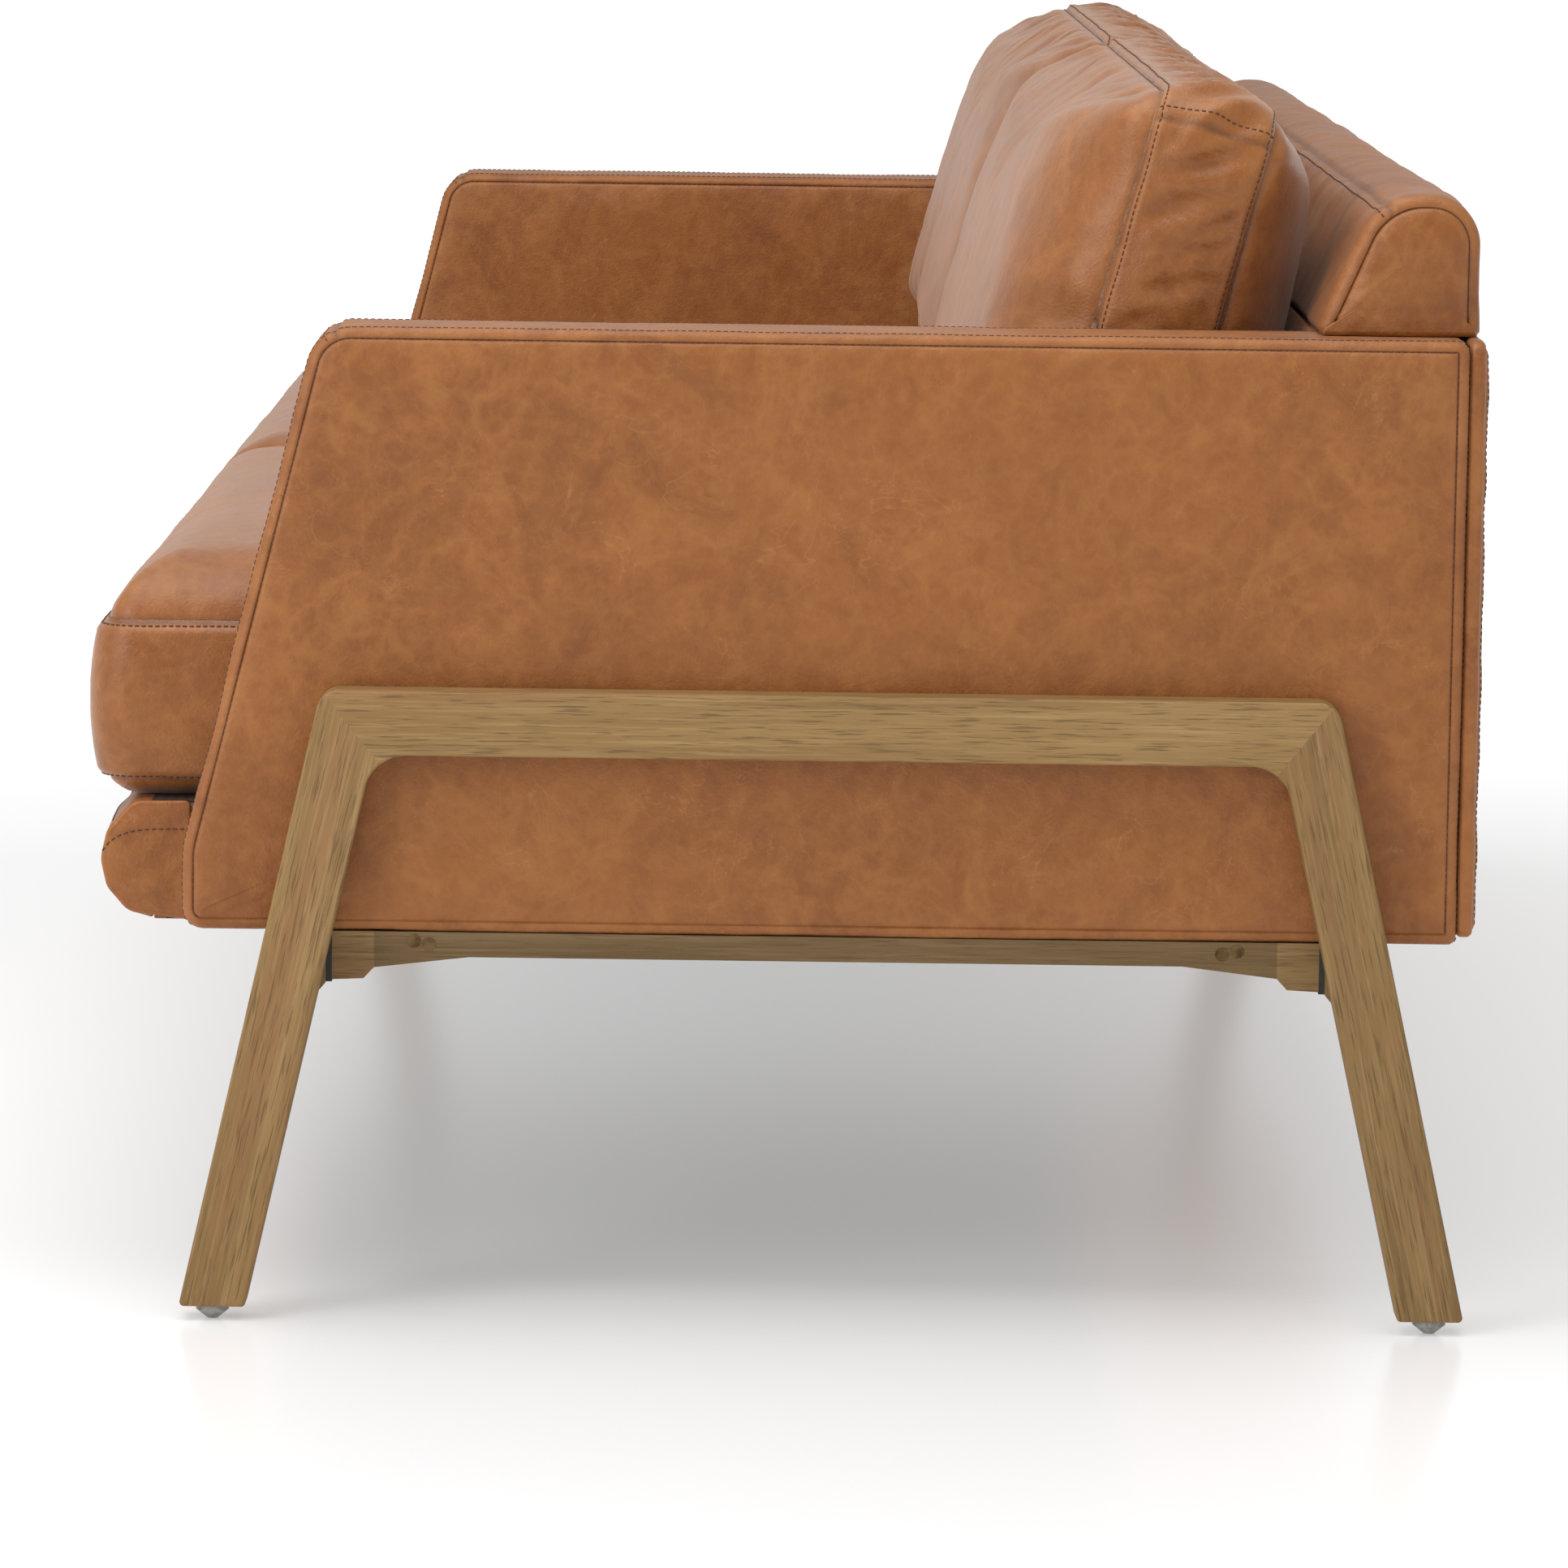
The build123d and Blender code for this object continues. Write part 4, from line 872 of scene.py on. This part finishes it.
for seed, (side_name, side) in enumerate(sides):
    body = f"{side_name}_back_cushion"
    form = SewnForm(
        loose_outline, gusset_half, loose_roll, band_rows=19, face_rows=30, bow=loose_bow, groove=0.0026
    )
    grid = form.grid(on_back(side), loose_crown, back=loose_rear, front=loose_front)
    grid = form.wrinkled(
        grid, 50 + seed, broad=0.0022, pucker=0.0034, pull=0.034, wavelength=0.19, spacing=0.034
    )
    in_band = np.zeros(len(grid))
    rows = np.arange(form.first_band, form.last_band + 1)
    in_band[rows] = np.sin(np.pi * (np.arange(len(rows)) + 0.5) / len(rows)) ** 1.1
    across = np.broadcast_to(form.height[:, None], form.along.shape)
    slanted = np.stack([form.along + 0.35 * across, 0.3 * across], axis=-1)
    gathers = 0.5 - np.abs(soft_waves(slanted, 60 + seed, wavelength=0.046))
    gathers += 0.25 * soft_waves(slanted, 64 + seed, wavelength=0.016)
    grid += outwards(grid) * (gather_depth * gathers * in_band[:, None])[..., None]
    grid = leaning_limits(grid, side)
    lines = []
    for share in (0.93, 0.13):
        column = form.nearest_column(loose_high[0], loose_height * share)
        lines.append(grains(*form.cross_seam(grid, column, dip=0.0015)))
    sewn_cover(f"{side_name}_back_leather", form, grid, loose_hide, f"{body}_case", body)
    padding_of(f"{side_name}_back_foam", grid, f"{body}_filling", body, (0.95, 0.88, 0.88))
    lines += round_stitches(grid, form.seams[0] + 5, form.seams[1] - 5)
    stitching(f"{side_name}_back_stitches", lines, body)

# ---- padded front edge ----
# A roll of foam in leather wraps the front rail of the seat.  A cap with a curved seam closes each
# end, and a flap of the same leather returns under the rail to the arms.
edge_low, edge_high = np.array(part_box("front_edge_cover"))
edge_back_y = edge_low[1] + 0.036
nose = [(0.022, 0.0808), (0.0045, 0.061), (0.0, 0.041), (0.0045, 0.022), (0.019, 0.005)]
nose_radii = [0.014, 0.016, 0.022, 0.016, 0.016]
edge_hide = leather("front_edge_leather", seed=2.9, bloom=0.08, shine=0.08)


def edge_profile(rear_corners, rear_radii):
    """The nose, closed behind by corners that are given, as it is, from the lowest front corner."""
    corners = np.array(nose + rear_corners) + edge_low[1:]
    return Outline(corners, nose_radii + rear_radii, step=0.003)


def along_sofa(depth, height, across):
    """A profile of depth and height, carried along the width of the sofa."""
    return np.stack([across, depth, height], axis=-1)


edge_outline = edge_profile([(0.036, 0.0), (0.036, 0.0808)], [0.002, 0.002])
form = SewnForm(
    edge_outline, edge_high[0] - cloth_clearance, roll=0.003, band_rows=161, face_rows=6, groove=0.001
)
grid = form.wrinkled(form.grid(along_sofa), 71, broad=0.0016, pucker=0.001, pull=0.03, wavelength=0.11)
edge_limits = edge_low + [0.0001, -0.002, -0.001], [edge_high[0], edge_back_y, edge_high[2]]
grid = np.clip(grid, *edge_limits)
sewn_cover("front_edge_leather", form, grid, edge_hide, "front_edge_cover", "frame")
padding_of("front_edge_foam", grid, "front_edge_padding", "frame", (0.99, 0.8, 0.86))
long_row = form.nearest_column(edge_low[1] + 0.006, edge_low[2] + 0.064)
edge_line = grid[form.first_band : form.last_band, long_row]
edge_up = outwards(grid)[form.first_band : form.last_band, long_row]
stitching("front_edge_stitches", [grains(edge_line, edge_up)], "frame")

cap_thickness, cap_gap = 0.0044, 0.0002
cap_depth = arm_low[1] - cap_gap - edge_low[1]
cap_outline = edge_profile([(cap_depth, 0.0), (cap_depth, 0.0812)], [0.003, 0.004])
cap_seam_depth = np.linspace(0.001, 0.0625, 30)
cap_seam_height = 0.044 + 0.018 * (1 - np.exp(-cap_seam_depth / 0.01))
for side_name, side in sides:

    def at_end(depth, height, across):
        """A cap on the end of the front edge, in front of the arm, and gently uneven."""
        width = side * (edge_high[0] + cap_gap + cap_thickness / 2 + across)
        placed = np.stack([width, depth, height], axis=-1)
        placed[..., 0] += side * 0.0006 * soft_waves(placed, 77, wavelength=0.03)
        return placed

    form = SewnForm(cap_outline, cap_thickness / 2, roll=0.0021, band_rows=3, face_rows=8, groove=0.0)
    form.groove *= 0
    sewn_cover(f"{side_name}_edge_cap", form, form.grid(at_end), edge_hide, None, "frame")
    seam = at_end(edge_low[1] + cap_seam_depth, edge_low[2] + cap_seam_height, np.full(30, cap_thickness / 2))
    seam_up = np.zeros_like(seam) + [side, 0.0, 0.0]
    stitching(f"{side_name}_edge_cap_stitches", [grains(seam, seam_up, radius=0.0005)], "frame")

flap_thickness = 0.0097
flap = Outline(
    rectangle((edge_back_y + 0.0002, edge_low[2]), (edge_high[1], edge_low[2] + flap_thickness)),
    radii=[0.001, 0.001, 0.002, 0.002],
    step=0.004,
)
form = SewnForm(flap, edge_high[0] - 0.001, roll=0.001, band_rows=41, face_rows=3, groove=0.0)
form.groove *= 0
sewn_cover("front_edge_return", form, form.grid(along_sofa), edge_hide, None, "frame")

# ---- back ----
# The back is a padded timber frame in leather: an upper roll that stands over the arms at both
# ends, a lower face behind the cushions, and a plain outside panel that is sewn on behind.
back_low, back_high = np.array(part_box("back_cover"))
roll_floor_z, roll_rear_y, roll_swell, edge_round = arm_high[2] + 0.0004, 0.4632, 0.006, 0.008
roll_outline = Outline(
    [
        (face_y(roll_floor_z), roll_floor_z),
        (face_y(back_high[2]), back_high[2]),
        (roll_rear_y, back_high[2]),
        (roll_rear_y, roll_floor_z),
    ],
    radii=[0.004, 0.046, 0.034, 0.004],
    step=0.0035,
)
back_hide = leather("back_leather", seed=5.2, bloom=0.12, shine=0.06)
roll_half = back_high[0] - 0.0008 - roll_swell
form = SewnForm(roll_outline, roll_half, edge_round, band_rows=181, face_rows=14, groove=0.0013)
sewn = open_at_foot(form, roll_floor_z)


def end_crown(spread, reach):
    """An end panel that swells between its two sides and its top, and stands full at its foot."""
    foot_line = spread[len(spread) // 2, :, 1] < -0.97
    off_sides = (1 - np.abs(spread[..., 0])) * form.reach_half[0]
    return shoulder(np.where(foot_line, off_sides, reach), 0.04)


grid = form.grid(along_sofa, end_crown, back=roll_swell, front=roll_swell)
grid = form.wrinkled(grid, 81, broad=0.0016, pucker=0.0011, pull=0.012, wavelength=0.08)
grid[..., 2] = np.maximum(grid[..., 2], roll_floor_z)
# Along the foot there is neither seam nor rolled edge: the end panels run straight down to the arms,
# and the round of the edge is pushed out to a square corner.
foot = np.ones(grid.shape[1], bool)
foot[sewn] = False
off_face = edge_round * (1 - np.minimum(np.tan(form.turn), 1))[:, None, None]
off_floor = edge_round * (1 - np.minimum(1 / np.tan(form.turn), 1))[:, None, None]
for band_end, onward in ((form.first_band, -1), (form.last_band, 1)):
    row = band_end + onward * np.arange(1, form.edge_rows + 2)
    rolled = row[: len(form.turn)]
    grid[np.ix_(row[:-1], foot, [0])] = grid[row[-1], foot, :1]
    grid[np.ix_(rolled, foot, [0])] -= onward * off_face
    grid[np.ix_(rolled, foot, [2])] = roll_floor_z + off_floor
front_join = form.nearest_column(face_y(back_high[2]) + 0.004, back_high[2] - 0.004)
join_path, join_up = form.cross_seam(grid, front_join, dip=0.002)
sewn_cover("back_roll_leather", form, grid, back_hide, "back_cover", "frame")
padding_of("back_roll_foam", grid, "back_padding", "frame", (0.985, 0.84, 0.86))
lines = round_stitches(grid, form.seams[0], form.seams[1], columns=sewn) + [grains(join_path, join_up)]
stitching("back_roll_stitches", lines, "frame")

face_outline = Outline(
    [
        (back_face_y, back_low[2]),
        (back_face_y, back_hip_z),
        (face_y(roll_floor_z - 0.0005), roll_floor_z - 0.0005),
        (back_high[1] - 0.0002, roll_floor_z - 0.0005),
        (back_high[1] - 0.0002, back_low[2]),
    ],
    radii=[0.004, 0.06, 0.004, 0.003, 0.003],
    step=0.006,
)
form = SewnForm(face_outline, arm_low[0] - 0.0008, roll=0.004, band_rows=101, face_rows=10, groove=0.001)
grid = form.wrinkled(form.grid(along_sofa), 91, broad=0.0005, pucker=0.0005, wavelength=0.12)
grid[..., 1] = np.clip(grid[..., 1], face_y(grid[..., 2]) - 0.0002, back_high[1] - 0.0002)
grid[..., 2] = np.clip(grid[..., 2], back_low[2], roll_floor_z - 0.0003)
sewn_cover("back_face_leather", form, grid, back_hide, None, "frame")

panel_low, panel_high = np.array(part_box("outside_back_panel"))
panel_top_z = roll_floor_z - 0.0006
panel_outline = Outline(
    rectangle((panel_low[0], panel_low[2]), (panel_high[0], panel_top_z)),
    radii=[0.008, 0.01, 0.01, 0.008],
    step=0.009,
)
panel_middle = (panel_low[1] + panel_high[1]) / 2


def behind_back(width, height, rearwards):
    """A panel of width and height that stands across the back of the sofa."""
    return np.stack([width, panel_middle + rearwards, height], axis=-1)


panel_half = (panel_high[1] - panel_low[1]) / 2
form = SewnForm(panel_outline, panel_half, roll=0.004, band_rows=9, face_rows=26, groove=0.001)
grid = form.grid(behind_back, drawn_down(0.07), front=0.005)
grid = form.wrinkled(grid, 95, broad=0.0008, pucker=0.0008, pull=0.03, wavelength=0.2)
grid[..., 1] = np.maximum(grid[..., 1], panel_low[1])
sewn_cover("outside_back_leather", form, grid, back_hide, "outside_back_panel", "frame")
stitching("outside_back_stitches", round_stitches(grid, form.seams[1] + 3), "frame")
